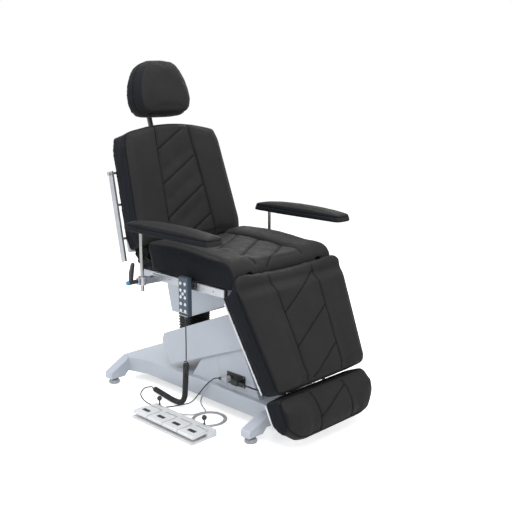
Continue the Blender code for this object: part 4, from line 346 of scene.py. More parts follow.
def bumps(made, layers, soft_edge=0.0):
    """Chains bump layers (kind, scale, height in metres, stretch), over softened edges if asked."""
    tree = made.node_tree
    normal = None
    if soft_edge > 0.0:
        bevel = shader_node(tree, "Bevel", Radius=soft_edge)
        bevel.samples = 4
        normal = bevel.outputs["Normal"]
    for kind, scale, height, stretch in layers:
        bump = shader_node(tree, "Bump", Distance=height, Strength=1.0)
        value = texture(tree, kind, scale, stretch)
        if kind == "cells":
            value = spread(tree, value, 0.0, 1.0, 0.0, 0.35)
        tree.links.new(value, bump.inputs["Height"])
        if normal is not None:
            tree.links.new(normal, bump.inputs["Normal"])
        normal = bump.outputs["Normal"]
    tree.links.new(normal, shader_of(made).inputs["Normal"])


def painted_side_shade(made, colour):
    """Painted shade: faces that point sideways get a darker, bluer colour, standing in for the shade that
    the light leaves on the side borders.
    """
    tree = made.node_tree
    base = shader_of(made).inputs["Base Color"]
    place = shader_node(tree, "TexCoord")
    parts = shader_node(tree, "SeparateXYZ")
    tree.links.new(place.outputs["Normal"], parts.inputs["Vector"])
    size = shader_node(tree, "Math")
    size.operation = "ABSOLUTE"
    tree.links.new(parts.outputs["Y"], size.inputs[0])
    share, first, second, result = colour_mix(tree)
    second.default_value = (*colour, 1.0)
    tree.links.new(spread(tree, size.outputs[0], 0.0, 1.0, *SIDE_SHADE_RANGE), share)
    tree.links.new(base.links[0].from_socket, first)
    tree.links.new(result, base)


def vinyl_look(name, colour, other, side_shade):
    made = principled(name, colour, 0.5)
    tone(made, colour, other, 7.0)
    # painted shade on the faces that point sideways
    painted_side_shade(made, side_shade)
    rough(made, 0.54, 0.70, 40.0)
    bumps(made, [("noise", 22.0, 0.0009, EVEN), ("cells", 620.0, 0.00010, EVEN),
                 ("noise", 1900.0, 0.00005, EVEN)])
    shader_of(made).inputs["Specular IOR Level"].default_value = DULL
    return made


def paint_look(name, colour, other):
    made = principled(name, colour, 0.4)
    tone(made, colour, other, 5.0)
    rough(made, 0.34, 0.50, 60.0)
    bumps(made, [("noise", 900.0, 0.00006, EVEN), ("noise", 3200.0, 0.00002, EVEN)], 0.0016)
    return made


def metal_look(name, colour, other, low, high, grain):
    made = principled(name, colour, low, 1.0)
    tone(made, colour, other, 30.0)
    rough(made, low, high, 500.0, grain)
    bumps(made, [("noise", 700.0, 0.00002, grain)], 0.0008)
    return made


def plastic_look(name, colour, other, low, high, height=0.00004, soft_edge=0.0010):
    made = principled(name, colour, low)
    tone(made, colour, other, 12.0)
    rough(made, low, high, 90.0)
    bumps(made, [("noise", 2200.0, height, EVEN), ("cells", 1500.0, height * 0.6, EVEN)], soft_edge)
    return made


# The third colour of each vinyl is its painted side shade, laid on faces that point sideways
VINYL = vinyl_look("vinyl", (0.0218, 0.0212, 0.0220), (0.0258, 0.0251, 0.0259), (0.0104, 0.0120, 0.0152))
GUSSET = vinyl_look("gusset_vinyl", (0.006, 0.0063, 0.0072), (0.009, 0.0093, 0.0102),
                    (0.006, 0.0065, 0.0077))
# Near-black: the stitches, and the painted crease shade in the seam grooves
THREAD_AND_CREASE_SHADE = plastic_look("thread_and_crease_shade", (0.0030, 0.0030, 0.0032), (0.0050, 0.0050, 0.0052), 0.7, 0.9, 0.00008, 0.0)
shader_of(THREAD_AND_CREASE_SHADE).inputs["Specular IOR Level"].default_value = DULL
PAINT = paint_look("paint", (0.455, 0.495, 0.555), (0.495, 0.53, 0.585))
PANEL = paint_look("panel", (0.66, 0.68, 0.71), (0.70, 0.715, 0.74))
STEEL = metal_look("steel", (0.30, 0.30, 0.295), (0.36, 0.36, 0.355), 0.18, 0.32, (1.0, 1.0, 0.06))
RAIL = metal_look("rail", (0.40, 0.42, 0.445), (0.46, 0.475, 0.50), 0.36, 0.50, (0.05, 1.0, 1.0))
BACK_RAIL = metal_look("back_rail", (0.42, 0.44, 0.46), (0.48, 0.495, 0.515), 0.34, 0.48,
                       (1.0, 1.0, 0.05))
IRON = paint_look("dark_metal", (0.030, 0.031, 0.034), (0.045, 0.046, 0.05))
BLACK = plastic_look("black_plastic", (0.018, 0.018, 0.020), (0.027, 0.027, 0.029), 0.38, 0.52)
DEEP = plastic_look("deep_black", (0.0035, 0.0036, 0.0040), (0.0055, 0.0056, 0.0062), 0.45, 0.60)
RUBBER = plastic_look("rubber", (0.012, 0.012, 0.013), (0.019, 0.019, 0.020), 0.55, 0.75, 0.00006, 0.0)
SLATE = plastic_look("slate", (0.038, 0.056, 0.080), (0.048, 0.068, 0.094), 0.40, 0.52)
HOOD = plastic_look("connector_hood", (0.34, 0.35, 0.36), (0.40, 0.41, 0.42), 0.34, 0.48)
KEY = plastic_look("key", (0.58, 0.66, 0.75), (0.64, 0.71, 0.79), 0.25, 0.36, 0.00002)
PALE = plastic_look("pale", (0.66, 0.675, 0.69), (0.72, 0.73, 0.74), 0.36, 0.50)
GLIDE = plastic_look("glide", (0.33, 0.34, 0.355), (0.40, 0.41, 0.425), 0.40, 0.55)
GREY = plastic_look("grey_cable", (0.34, 0.345, 0.355), (0.42, 0.425, 0.43), 0.36, 0.5, 0.00003, 0.0)
BLUE = plastic_look("blue_button", (0.018, 0.19, 0.42), (0.026, 0.23, 0.48), 0.25, 0.38, 0.00002)


# Mesh helpers

SHARP_MADE = math.radians(38.0)
SHARP_CAD = math.radians(35.0)


def coat(mesh, finish, sharp):
    """One material, smooth shading, and edges left sharp over the given angle."""
    mesh.materials.clear()
    mesh.materials.append(finish)
    mesh.shade_smooth()
    mesh.set_sharp_from_angle(angle=sharp)


def dress(finish, *names):
    """Gives carried-over CAD nodes their material."""
    for name in names:
        coat(NODES[name].data, finish, SHARP_CAD)


def new_piece(name, shape, finish):
    """A named object at the origin from a bmesh whose points are in the part's frame."""
    mesh = bpy.data.meshes.new(name)
    shape.normal_update()
    shape.to_mesh(mesh)
    shape.free()
    coat(mesh, finish, SHARP_MADE)
    made = bpy.data.objects.new(name, mesh)
    SCENE.collection.objects.link(made)
    return made


def applied(piece):
    """Turns the piece's modifiers into its mesh."""
    bpy.context.view_layer.update()
    seen = piece.evaluated_get(bpy.context.evaluated_depsgraph_get())
    mesh = bpy.data.meshes.new_from_object(seen)
    old = piece.data
    piece.modifiers.clear()
    piece.data = mesh
    bpy.data.meshes.remove(old)
    mesh.name = piece.name


def triples(items, name):
    """One vector of each item, as the rows of an array."""
    flat = np.zeros(len(items) * 3, np.float32)
    items.foreach_get(name, flat)
    return flat.reshape(-1, 3).astype(float)


def points_of(mesh):
    return triples(mesh.vertices, "co")


def normals_of(mesh):
    return triples(mesh.vertex_normals, "vector")


def set_points(mesh, points):
    mesh.vertices.foreach_set("co", points.astype(np.float32).ravel())
    mesh.update()


def circle(centre, side, other, radius, sides):
    """Points round a centre, in the plane of two unit directions."""
    points = []
    for step in range(sides):
        angle = math.tau * step / sides
        points.append(centre + (side * math.cos(angle) + other * math.sin(angle)) * radius)
    return points


def bridge(shape, near, far):
    """Faces between two closed rows of vertices."""
    for index in range(len(near)):
        following = (index + 1) % len(near)
        shape.faces.new((near[index], near[following], far[following], far[index]))


def skin(shape, rings):
    """Closes a row of rings of points into a surface; returns the rings of vertices."""
    made = [[shape.verts.new(point) for point in ring] for ring in rings]
    for near, far in zip(made, made[1:]):
        bridge(shape, near, far)
    return made


def capped(shape, rings):
    """Like skin, with both ends closed."""
    made = skin(shape, rings)
    shape.faces.new(list(reversed(made[0])))
    shape.faces.new(made[-1])


def tube(shape, points, radius, sides):
    """Adds a capped tube along the points to a bmesh."""
    spots = [Vector(point) for point in points]
    last = len(spots) - 1
    side = None
    rings = []
    for index, spot in enumerate(spots):
        ahead = (spots[min(index + 1, last)] - spots[max(index - 1, 0)]).normalized()
        side = ahead.orthogonal() if side is None else side - ahead * side.dot(ahead)
        side.normalize()
        rings.append(circle(spot, side, ahead.cross(side), radius, sides))
    capped(shape, rings)


def disc(shape, centre, axis, radius, height, sides=24, dome=0.0):
    """Adds a short round cap with a rounded rim, standing on centre along axis."""
    axis = Vector(axis).normalized()
    side = axis.orthogonal().normalized()
    other = axis.cross(side)
    profile = ((1.0, 0.0), (1.0, 0.62), (0.965, 0.86), (0.88, 1.0), (0.5, 1.0 + dome * 0.75))
    rings = []
    for out, up in profile:
        rings.append(circle(Vector(centre) + axis * height * up, side, other, radius * out, sides))
    made = skin(shape, rings)
    tip = shape.verts.new(Vector(centre) + axis * height * (1.0 + dome))
    for step in range(sides):
        shape.faces.new((made[-1][step], made[-1][(step + 1) % sides], tip))
    shape.faces.new(list(reversed(made[0])))


def slab(shape, low, high, bevel):
    """Adds a bevelled box between two corners."""
    part = bmesh.new()
    bmesh.ops.create_cube(part, size=1.0)
    size = Vector(high) - Vector(low)
    middle = (Vector(high) + Vector(low)) / 2.0
    bmesh.ops.scale(part, vec=size, verts=part.verts)
    bmesh.ops.bevel(part, geom=list(part.edges), offset=bevel, segments=3, affect="EDGES", profile=0.5)
    bmesh.ops.translate(part, vec=middle, verts=part.verts)
    mesh = bpy.data.meshes.new("slab")
    part.to_mesh(mesh)
    part.free()
    shape.from_mesh(mesh)
    bpy.data.meshes.remove(mesh)


def smooth_step(value):
    value = min(max(value, 0.0), 1.0)
    return value * value * (3.0 - 2.0 * value)


def shifted(points):
    return [Vector((x + SHIFT, y, z)) for x, y, z in points]


# Camera, light and floor

def facing(place, target):
    return (Vector(target) - Vector(place)).to_track_quat("-Z", "Y").to_euler()


def make_studio():
    camera = bpy.data.objects.new("camera", bpy.data.cameras.new("camera"))
    camera.data.lens = CAMERA_LENS
    camera.data.sensor_width = CAMERA_SENSOR
    camera.location = CAMERA_AT
    camera.rotation_euler = facing(CAMERA_AT, CAMERA_TO)
    SCENE.collection.objects.link(camera)
    SCENE.camera = camera
    SCENE.view_settings.view_transform = "Standard"
    world = bpy.data.worlds.new("studio")
    SCENE.world = world
    world.use_nodes = True
    tree = world.node_tree
    tree.nodes.clear()
    out = shader_node(tree, "OutputWorld")
    light = shader_node(tree, "Background", Color=DOME_COLOUR, Strength=DOME_STRENGTH)
    seen = shader_node(tree, "Background", Color=WHITE, Strength=1.0)
    mix = shader_node(tree, "MixShader")
    tree.links.new(seen_by_eye(tree), mix.inputs["Fac"])
    tree.links.new(light.outputs["Background"], mix.inputs[1])
    tree.links.new(seen.outputs["Background"], mix.inputs[2])
    tree.links.new(mix.outputs["Shader"], out.inputs["Surface"])
    for name, place, size, power in LAMPS:
        lamp = bpy.data.objects.new(name, bpy.data.lights.new(name, "AREA"))
        lamp.data.size = size
        lamp.data.energy = power
        lamp.location = place
        lamp.rotation_euler = facing(place, LAMPS_TO)
        SCENE.collection.objects.link(lamp)
    make_floor()


def seen_by_eye(tree):
    """1 for camera, glossy and transmission rays, else 0."""
    path = shader_node(tree, "LightPath")
    share = path.outputs["Is Camera Ray"]
    for name in ("Is Glossy Ray", "Is Transmission Ray"):
        larger = shader_node(tree, "Math")
        larger.operation = "MAXIMUM"
        tree.links.new(share, larger.inputs[0])
        tree.links.new(path.outputs[name], larger.inputs[1])
        share = larger.outputs[0]
    return share


def make_floor():
    shape = bmesh.new()
    bmesh.ops.create_grid(shape, x_segments=1, y_segments=1, size=FLOOR_HALF)
    finish = principled("floor", FLOOR_COLOUR, 0.9)
    tree = finish.node_tree
    shader = shader_of(finish)
    shader.inputs["Specular IOR Level"].default_value = 0.0
    shader.inputs["Emission Color"].default_value = WHITE
    glow = shader_node(tree, "Math")
    glow.operation = "MULTIPLY"
    glow.inputs[1].default_value = FLOOR_GLOW
    tree.links.new(seen_by_eye(tree), glow.inputs[0])
    tree.links.new(glow.outputs[0], shader.inputs["Emission Strength"])
    floor = new_piece("floor", shape, finish)


# Cords

def spline_through(points, spacing):
    """Evenly spaced points of a smooth curve through the given points."""
    spots = [Vector(point) for point in points]
    padded = [spots[0] * 2.0 - spots[1]] + spots + [spots[-1] * 2.0 - spots[-2]]
    fine = []
    for before, start, end, after in zip(padded, padded[1:], padded[2:], padded[3:]):
        for step in range(SPLINE_STEPS):
            t = step / SPLINE_STEPS
            fine.append(0.5 * (2.0 * start + (end - before) * t
                               + (2.0 * before - 5.0 * start + 4.0 * end - after) * t * t
                               + (3.0 * start - before - 3.0 * end + after) * t ** 3))
    fine.append(spots[-1])
    lengths = [0.0]
    for near, far in zip(fine, fine[1:]):
        lengths.append(lengths[-1] + (far - near).length)
    count = max(2, round(lengths[-1] / spacing))
    even = []
    position = 0
    for step in range(count + 1):
        wanted = lengths[-1] * step / count
        while position < len(fine) - 2 and lengths[position + 1] < wanted:
            position += 1
        run = lengths[position + 1] - lengths[position]
        even.append(fine[position].lerp(fine[position + 1], (wanted - lengths[position]) / max(run, 1e-9)))
    return even


def handset_curl():
    """Helix round a route, drawn in to the route at both ends."""
    guide = spline_through(CURL_ROUTE, 0.004)
    total = len(guide) - 1
    points = []
    side = Vector((0.0, 1.0, 0.0))
    last = CURL_TURNS - 1
    for step in range(CURL_TURNS * CURL_PER_TURN + 1):
        turn = step / CURL_PER_TURN
        if turn < 1.0:
            place = total * CURL_LEAD * turn
        elif turn > last:
            place = total * (1.0 - CURL_LEAD * (CURL_TURNS - turn))
        else:
            place = total * (CURL_LEAD + (1.0 - 2.0 * CURL_LEAD) * (turn - 1.0) / (last - 1.0))
        index = min(int(place), total - 1)
        here = guide[index].lerp(guide[index + 1], place - index)
        ahead = (guide[index + 1] - guide[index]).normalized()
        side = (side - ahead * side.dot(ahead)).normalized()
        out = side * math.cos(math.tau * turn) + ahead.cross(side) * math.sin(math.tau * turn)
        points.append(here + out * CURL_RADIUS * smooth_step(min(turn, CURL_TURNS - turn)))
    return points


def coil_point(centre, reach, angle, height):
    x, y = centre
    return Vector((x + reach * math.cos(angle), y + reach * math.sin(angle), height + FLOOR_CLEAR))


def foot_coil():
    """Flat loops on the floor, wound inwards."""
    points = []
    for step in range(FOOT_COIL_TURNS * FOOT_COIL_PER_TURN + 1):
        turn = step / FOOT_COIL_PER_TURN
        reach = FOOT_COIL_RADIUS - turn * FOOT_CABLE * FOOT_COIL_PITCH
        points.append(coil_point(FOOT_COIL_AT, reach, math.pi - math.tau * turn, FOOT_CABLE / 2.0))
    return points


def mains_coil():
    """Two layers: wound inwards on the floor, then outwards on top of that."""
    points = []
    for layer in (0, 1):
        for step in range(layer, MAINS_COIL_TURNS * MAINS_COIL_PER_TURN + 1):
            turn = step / MAINS_COIL_PER_TURN
            inward = turn if layer == 0 else MAINS_COIL_TURNS - turn
            reach = MAINS_COIL_RADIUS - inward * MAINS_CORD * MAINS_COIL_PITCH
            climb = smooth_step(turn / MAINS_COIL_CLIMB) if layer else 0.0
            height = MAINS_CORD * (0.5 + MAINS_COIL_LAYER * climb)
            points.append(coil_point(MAINS_COIL_AT, reach, -math.pi / 2.0 - math.tau * turn, height))
    return points


def cord_piece(name, points, diameter, finish, node, sides=12):
    shape = bmesh.new()
    tube(shape, points, diameter / 2.0, sides)
    made = new_piece(name, shape, finish)
    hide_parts(node)
    return made


def make_cords():
    line = shifted(spline_through(HANDSET_ROUTE_TOP, CORD_STEP))
    piece = cord_piece("handset_cord_upper", line, HANDSET_CORD, RUBBER, "handset_cord_top")
    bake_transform(piece)
    line = shifted(handset_curl())
    piece = cord_piece("handset_cord_coiled", line, CURL_CORD, RUBBER, "handset_cord_curl", 8)
    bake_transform(piece)
    line = shifted(spline_through(HANDSET_ROUTE_LOW, CORD_STEP))
    piece = cord_piece("handset_cord_lower", line, HANDSET_CORD, RUBBER, "handset_cord_low")
    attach(piece, "base")
    line = spline_through(FOOT_ROUTE_IN, CORD_STEP) + foot_coil()
    line = shifted(line + spline_through(FOOT_ROUTE_OUT, CORD_STEP))
    piece = cord_piece("foot_control_cable", line, FOOT_CABLE, GREY, "foot_cable")
    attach(piece, "base")
    line = spline_through(MAINS_ROUTE_IN, MAINS_STEP) + mains_coil()
    line = shifted(line + spline_through(MAINS_ROUTE_OUT, MAINS_STEP))
    piece = cord_piece("power_lead", line, MAINS_CORD, RUBBER, "mains_lead")
    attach(piece, "base")


# Upholstery

def swell(piece, pinned, cap):
    """Inflates the piece as cloth, holding the pinned points; keeps the swelling along the normals."""
    mesh = piece.data
    start = points_of(mesh)
    normals = normals_of(mesh)
    group = piece.vertex_groups.new(name="held")
    group.add([int(i) for i in np.nonzero(pinned)[0]], 1.0, "REPLACE")
    cloth = piece.modifiers.new("cloth", "CLOTH")
    for name, value in SWELL.items():
        setattr(cloth.settings, name, value)
    cloth.settings.effector_weights.gravity = 0.0
    cloth.collision_settings.use_collision = False
    cloth.point_cache.frame_end = SWELL_FRAMES
    for number in range(1, SWELL_FRAMES + 1):
        SCENE.frame_set(number)
    seen = piece.evaluated_get(bpy.context.evaluated_depsgraph_get())
    end = points_of(seen.data)
    SCENE.frame_set(1)
    piece.modifiers.clear()
    piece.vertex_groups.clear()
    rise = np.clip(np.sum((end - start) * normals, axis=1), -SWELL_SINK, cap)
    set_points(mesh, start + normals * rise[:, None])


def relax(mesh, rounds, held):
    """Evens the surface out a little; held points stay."""
    edges = np.zeros(len(mesh.edges) * 2, np.int32)
    mesh.edges.foreach_get("vertices", edges)
    edges = edges.reshape(-1, 2)
    points = points_of(mesh)
    count = np.bincount(edges.ravel(), minlength=len(points)).astype(float)[:, None]
    for _ in range(rounds):
        total = np.zeros_like(points)
        np.add.at(total, edges[:, 0], points[edges[:, 1]])
        np.add.at(total, edges[:, 1], points[edges[:, 0]])
        goal = total / np.maximum(count, 1.0)
        points = np.where(held[:, None], points, points * 0.5 + goal * 0.5)
    set_points(mesh, points)


def world_points(points, space):
    turn = np.array(space)
    return points @ turn[:3, :3].T + turn[:3, 3]


def local_points(points, space):
    return world_points(points, space.inverted())


def soft_copy(name, node, space, stay, reshape, voxel, shrink, cap, rounds):
    """Padded piece from a CAD solid: remeshed, reshaped, drawn in, swollen as cloth and subdivided once.

    Points under a limit on one of the space's axes aren't relaxed, drawn in or swollen.
    """
    piece = bpy.data.objects.new(name, NODES[node].data.copy())
    SCENE.collection.objects.link(piece)
    remesh = piece.modifiers.new("remesh", "REMESH")
    remesh.mode = "VOXEL"
    remesh.voxel_size = voxel
    applied(piece)
    mesh = piece.data
    axis, limit = stay
    held = local_points(points_of(mesh), space)[:, axis] < limit
    relax(mesh, rounds, held)
    points = points_of(mesh)
    if reshape is not None:
        flat = local_points(points, space)
        reshape(flat)
        points = world_points(flat, space)
        set_points(mesh, points)
    set_points(mesh, points - normals_of(mesh) * np.where(held, 0.0, shrink)[:, None])
    swell(piece, held, cap)
    relax(mesh, 2, held)
    fine = piece.modifiers.new("fine", "SUBSURF")
    fine.levels = 1
    applied(piece)
    piece.data.materials.clear()
    piece.data.materials.append(VINYL)
    piece.data.shade_smooth()
    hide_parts(node)
    return piece


def surface_tree(piece):
    mesh = piece.data
    faces = [tuple(face.vertices) for face in mesh.polygons]
    return BVHTree.FromPolygons([vert.co for vert in mesh.vertices], faces)


def drawn_on(tree, space, line, towards):
    """Points of a seam: a line given in the space's frame, cast on to the surface along towards."""
    ray = (space.to_3x3() @ Vector(towards)).normalized()
    found = []
    for spot in spline_through(line, SEAM_STEP):
        place, normal, _, _ = tree.ray_cast(space @ spot - ray * CAST_FROM, ray)
        if place is not None:
            found.append((place, normal))
    return found


def front_seams(tree, space, lines):
    """Seams on a cushion's front, from lines of (y, z) in the space's frame."""
    return [drawn_on(tree, space, [(0.0, y, z) for y, z in line], (-1.0, 0.0, 0.0)) for line in lines]


def both_sides(line):
    """A line that begins each point with y, once on each side of the middle."""
    return [[(side * y, other) for y, other in line] for side in (-1.0, 1.0)]


def cut_loop(piece, space, at, axis, keep=lambda spot: True):
    """Points of a seam: the piece's cut with a plane of the space's frame, in order, where keep says."""
    shape = bmesh.new()
    shape.from_mesh(piece.data)
    normal = (space.to_3x3() @ Vector(axis)).normalized()
    found = bmesh.ops.bisect_plane(shape, geom=list(shape.verts) + list(shape.edges) + list(shape.faces),
                                   plane_co=space @ Vector(at), plane_no=normal)
    links = {}
    for item in found["geom_cut"]:
        if isinstance(item, bmesh.types.BMEdge):
            near, far = item.verts
            links.setdefault(near, []).append(far)
            links.setdefault(far, []).append(near)
    runs = []
    left = set(links)
    while left:
        here = min(left, key=lambda vert: tuple(vert.co))
        chain = []
        while here is not None:
            chain.append(here.co.copy())
            left.discard(here)
            here = next((vert for vert in links[here] if vert in left), None)
        runs.append(chain)
    shape.free()
    longest = max(runs, key=len)
    longest.append(longest[0])
    tree = surface_tree(piece)
    back = space.inverted()
    seam = []
    pieces = []
    for spot in spline_through(longest[::3], RIM_STEP):
        if keep(back @ spot):
            seam.append(tree.find_nearest(spot)[:2])
        elif seam:
            pieces.append(seam)
            seam = []
    pieces.append(seam)
    return [part for part in pieces if len(part) > 4]


def carve(piece, seams, depth, width):
    """Draws the surface in along the seams."""
    places = [place for seam in seams for place, _ in seam]
    tree = KDTree(len(places))
    for number, place in enumerate(places):
        tree.insert(place, number)
    tree.balance()
    mesh = piece.data
    away = np.array([tree.find(vert.co)[2] for vert in mesh.vertices])
    sharp = 0.62 * np.exp(-(away / width) ** 2)
    wide = 0.38 * np.exp(-(away / (width * 2.6)) ** 2)
    drop = depth * (sharp + wide)
    set_points(mesh, points_of(mesh) - normals_of(mesh) * drop[:, None])


def sew(name, piece, seams, body):
    """A thin near-black tube sunk in each groove as painted crease shade, with a row of stitches on both
    sides.
    """
    tree = surface_tree(piece)
    shape = bmesh.new()
    for seam in seams:
        line = []
        for place, normal in seam[::2]:
            spot, _, _, _ = tree.find_nearest(place - normal * 0.003)
            line.append(spot + normal * 0.0001)
        if len(line) > 3:
            # painted crease shade down the middle of the groove
            tube(shape, line, SEAM_SHADE_RADIUS, 6)
        for index in range(3, len(seam) - 4, 3):
            place, normal = seam[index]
            along = (seam[index + 1][0] - seam[index - 1][0]).normalized()
            across = along.cross(normal).normalized()
            for side in (-STITCH_AWAY, STITCH_AWAY):
                middle = place + across * side
                first, first_face, _, _ = tree.find_nearest(middle - along * STITCH_HALF)
                last, last_face, _, _ = tree.find_nearest(middle + along * STITCH_HALF)
                top = (first + last) / 2.0 + first_face * STITCH_RISE
                tube(shape, [first - first_face * STITCH_SINK, top, last - last_face * STITCH_SINK],
                     STITCH_RADIUS, 5)
    made = new_piece(name, shape, THREAD_AND_CREASE_SHADE)
    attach(made, body)


def upholster(piece, body, fill, name, *grooves):
    """Carves groups of seams, each with a depth and a width, hangs the piece on its body and sews it."""
    for seams, depth, width in grooves:
        carve(piece, seams, depth, width)
    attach(piece, body)
    sew(name, piece, [seam for group in grooves for seam in group[0]], body)


def make_back_cushion():
    def reshape(flat):
        """Draws the middle panel back between the side bolsters."""
        middle = np.clip(1.0 - (np.abs(flat[:, 1]) / BACK_DISH_HALF) ** 4, 0.0, 1.0)
        front = np.clip(flat[:, 0] / 0.03, 0.0, 1.0)
        ends = np.clip(np.minimum(flat[:, 2] - 0.06, 0.60 - flat[:, 2]) / 0.10, 0.0, 1.0)
        flat[:, 0] -= BACK_DISH * middle * front * ends

    piece = soft_copy("back_upholstery", "back_cushion", BACK, (X, -0.050), reshape, voxel=0.0055,
                      shrink=0.001, cap=0.006, rounds=8)
    seams = front_seams(surface_tree(piece), BACK, both_sides(BACK_LONG_SEAM) + BACK_BARS)
    rims = cut_loop(piece, BACK, (0.031, 0.0, 0.3), (1.0, 0.0, 0.0), lambda spot: spot.z > 0.06)
    upholster(piece, "back", 0.8, "back_seams", (seams, 0.0052, SEAM_WIDTH), (rims, 0.0022, RIM_WIDTH))


def make_headrest():
    def reshape(flat):
        """Fills the sides out, so that they run straight into the front."""
        bulge = np.clip(1.0 - ((flat[:, 0] - HEAD_BULGE_X) / HEAD_BULGE_X) ** 2, 0.0, 1.0)
        grow = 1.0 + HEAD_BULGE * bulge
        flat[:, 1] *= grow
        flat[:, 2] *= grow

    piece = soft_copy("headrest_upholstery", "headrest_cushion", HEAD, (X, 0.004), reshape, voxel=0.0045,
                      shrink=0.0005, cap=0.005, rounds=10)
    rims = cut_loop(piece, HEAD, (0.054, 0.0, 0.0), (1.0, 0.0, 0.0))
    upholster(piece, "head", 0.85, "headrest_seams", (rims, 0.0014, 0.0026))


def make_seat():
    piece = soft_copy("seat_upholstery", "seat_cushion", SEAT, (Z, 0.618), None, voxel=0.0055,
                      shrink=0.001, cap=0.004, rounds=6)
    tree = surface_tree(piece)
    seams = []
    for line in both_sides(SEAT_LONG_SEAM) + SEAT_BARS:
        seams.append(drawn_on(tree, SEAT, [(x, y, SEAT_OVER) for y, x in line], (0.0, 0.0, -1.0)))
    upholster(piece, "carriage", 0.75, "seat_seams", (seams, 0.0048, SEAM_WIDTH))


def make_legrest():
    def reshape(flat):
        """A little wider, with the upper corners rounded off."""
        flat[:, 1] *= LEG_WIDER
        corner = LEG_CORNER
        side = np.max(np.abs(flat[:, 1])) - corner
        top = np.max(flat[:, 2]) - corner
        out = np.abs(flat[:, 1]) - side
        up = flat[:, 2] - top
        size = np.hypot(out, up)
        beyond = (out > 0.0) & (up > 0.0) & (size > corner)
        scale = np.where(beyond, corner / np.maximum(size, 1e-9), 1.0)
        flat[:, 1] = np.where(beyond, np.sign(flat[:, 1]) * (side + out * scale), flat[:, 1])
        flat[:, 2] = np.where(beyond, top + up * scale, flat[:, 2])

    piece = soft_copy("leg_upholstery", "leg_cushion", LEG, (X, -0.001), reshape, voxel=0.0055,
                      shrink=0.001, cap=0.004, rounds=8)
    seams = front_seams(surface_tree(piece), LEG, both_sides(LEG_LONG_SEAM) + LEG_BARS)
    rims = cut_loop(piece, LEG, (0.074, 0.0, -0.3), (1.0, 0.0, 0.0), lambda spot: spot.z < -0.07)
    upholster(piece, "leg", 0.75, "leg_seams", (seams, 0.0048, SEAM_WIDTH), (rims, 0.0020, RIM_WIDTH))


def make_footrest():
    def reshape(flat):
        """A little longer towards the legrest."""
        flat[:, 2] += FOOT_LONGER * np.clip((flat[:, 2] + 0.600) / 0.060, 0.0, 1.0)

    piece = soft_copy("foot_upholstery", "foot_cushion", LEG, (X, -0.001), reshape, voxel=0.0050,
                      shrink=0.001, cap=0.004, rounds=8)
    seams = front_seams(surface_tree(piece), LEG, both_sides(FOOT_LONG_SEAM) + FOOT_BARS)
    rims = cut_loop(piece, LEG, (0.066, 0.0, -0.6), (1.0, 0.0, 0.0))
    upholster(piece, "footrest", 0.75, "foot_seams", (seams, 0.0046, SEAM_WIDTH), (rims, 0.0020, RIM_WIDTH))


def make_arm_pads():
    for name in ("right", "left"):
        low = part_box(f"arm_pad_{name}")[0]
        space = Matrix.Translation((0.0, 0.0, low[2]))
        piece = soft_copy(f"arm_upholstery_{name}", f"arm_pad_{name}", space, (Z, 0.004), None,
                          voxel=0.0045, shrink=0.0005, cap=0.004, rounds=6)
        rims = cut_loop(piece, space, (0.0, 0.0, 0.023), (0.0, 0.0, 1.0))
        upholster(piece, f"pad_{name}", 0.85, f"arm_seams_{name}", (rims, 0.0020, RIM_WIDTH))


# Details on the hard pieces

def rider(name, shape, finish, body):
    made = new_piece(name, shape, finish)
    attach(made, body)


def rounded_ring(half_x, half_y, corner, steps):
    """Points of a rounded rectangle, anticlockwise."""
    ring = []
    for quarter, (side_x, side_y) in enumerate(((1, 1), (-1, 1), (-1, -1), (1, -1))):
        for step in range(steps + 1):
            angle = math.pi / 2.0 * (quarter + step / steps)
            ring.append((side_x * (half_x - corner) + corner * math.cos(angle),
                         side_y * (half_y - corner) + corner * math.sin(angle)))
    return ring


def make_bellows():
    """Ribbed rubber sleeve from the sloping arm top up to the level housing floor."""
    carry = Vector((LIFT_AT[0] - ARM_LENGTH * math.cos(ARM_TILT) + SHIFT, 0.0,
                    LIFT_AT[2] - ARM_LENGTH * math.sin(ARM_TILT)))
    low = Vector((ARM_TOP * math.tan(ARM_TILT), 0.0, ARM_TOP + BELLOWS_CLEAR))
    foot = Matrix.Rotation(-ARM_TILT, 3, "Y") @ low
    head = Vector((0.0, 0.0, HOUSING_FLOOR - BELLOWS_CLEAR - carry.z))
    count = BELLOWS_RIBS * BELLOWS_PER_RIB
    walls = []
    for wall in (0.0, BELLOWS_WALL):
        rings = []
        for step in range(count + 1):
            share = step / count
            turn = Matrix.Rotation(ARM_TILT * (share - 1.0), 3, "Y")
            wave = 0.5 - 0.5 * math.cos(math.tau * BELLOWS_RIBS * share)
            grow = BELLOWS_RISE * wave ** 0.7 - wall
            middle = carry + foot.lerp(head, share)
            ring = rounded_ring(BELLOWS_HALF[0] + grow, BELLOWS_HALF[1] + grow, BELLOWS_CORNER, 4)
            rings.append([middle + turn @ Vector((u, v, 0.0)) for u, v in ring])
        walls.append(rings)
    shape = bmesh.new()
    outer = skin(shape, walls[0])
    inner = skin(shape, walls[1])
    for level in (0, -1):
        bridge(shape, outer[level], inner[level])
    bmesh.ops.recalc_face_normals(shape, faces=shape.faces)
    piece = new_piece("bellows_sleeve", shape, RUBBER)
    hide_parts("bellows")
    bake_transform(piece)


def gusset_reach(u, t, sign):
    """How far from the middle the gusset's outer face lies, at u along and t up, both from 0 to 1."""
    bow = 0.42 * (1.0 - u) ** 2 + 0.04 * math.sin(5.0 * u + 1.3 * sign)
    fold = 0.5 - 0.5 * math.cos(math.tau * GUSSET_FOLDS * (t + bow * (1.0 - 0.4 * t)))
    pinch = smooth_step(5.0 * t) * smooth_step(5.0 * (1.0 - t)) * smooth_step(5.0 * u)
    ripple = GUSSET_RIPPLE * math.sin(23.0 * u + 9.0 * t) * pinch
    rise = GUSSET_RISE * smooth_step(1.6 * t) * smooth_step(4.0 * u + 0.2)
    return GUSSET_OUTSIDE + rise + GUSSET_FOLD_DEPTH * (fold ** 0.8 - 0.5) * pinch + ripple


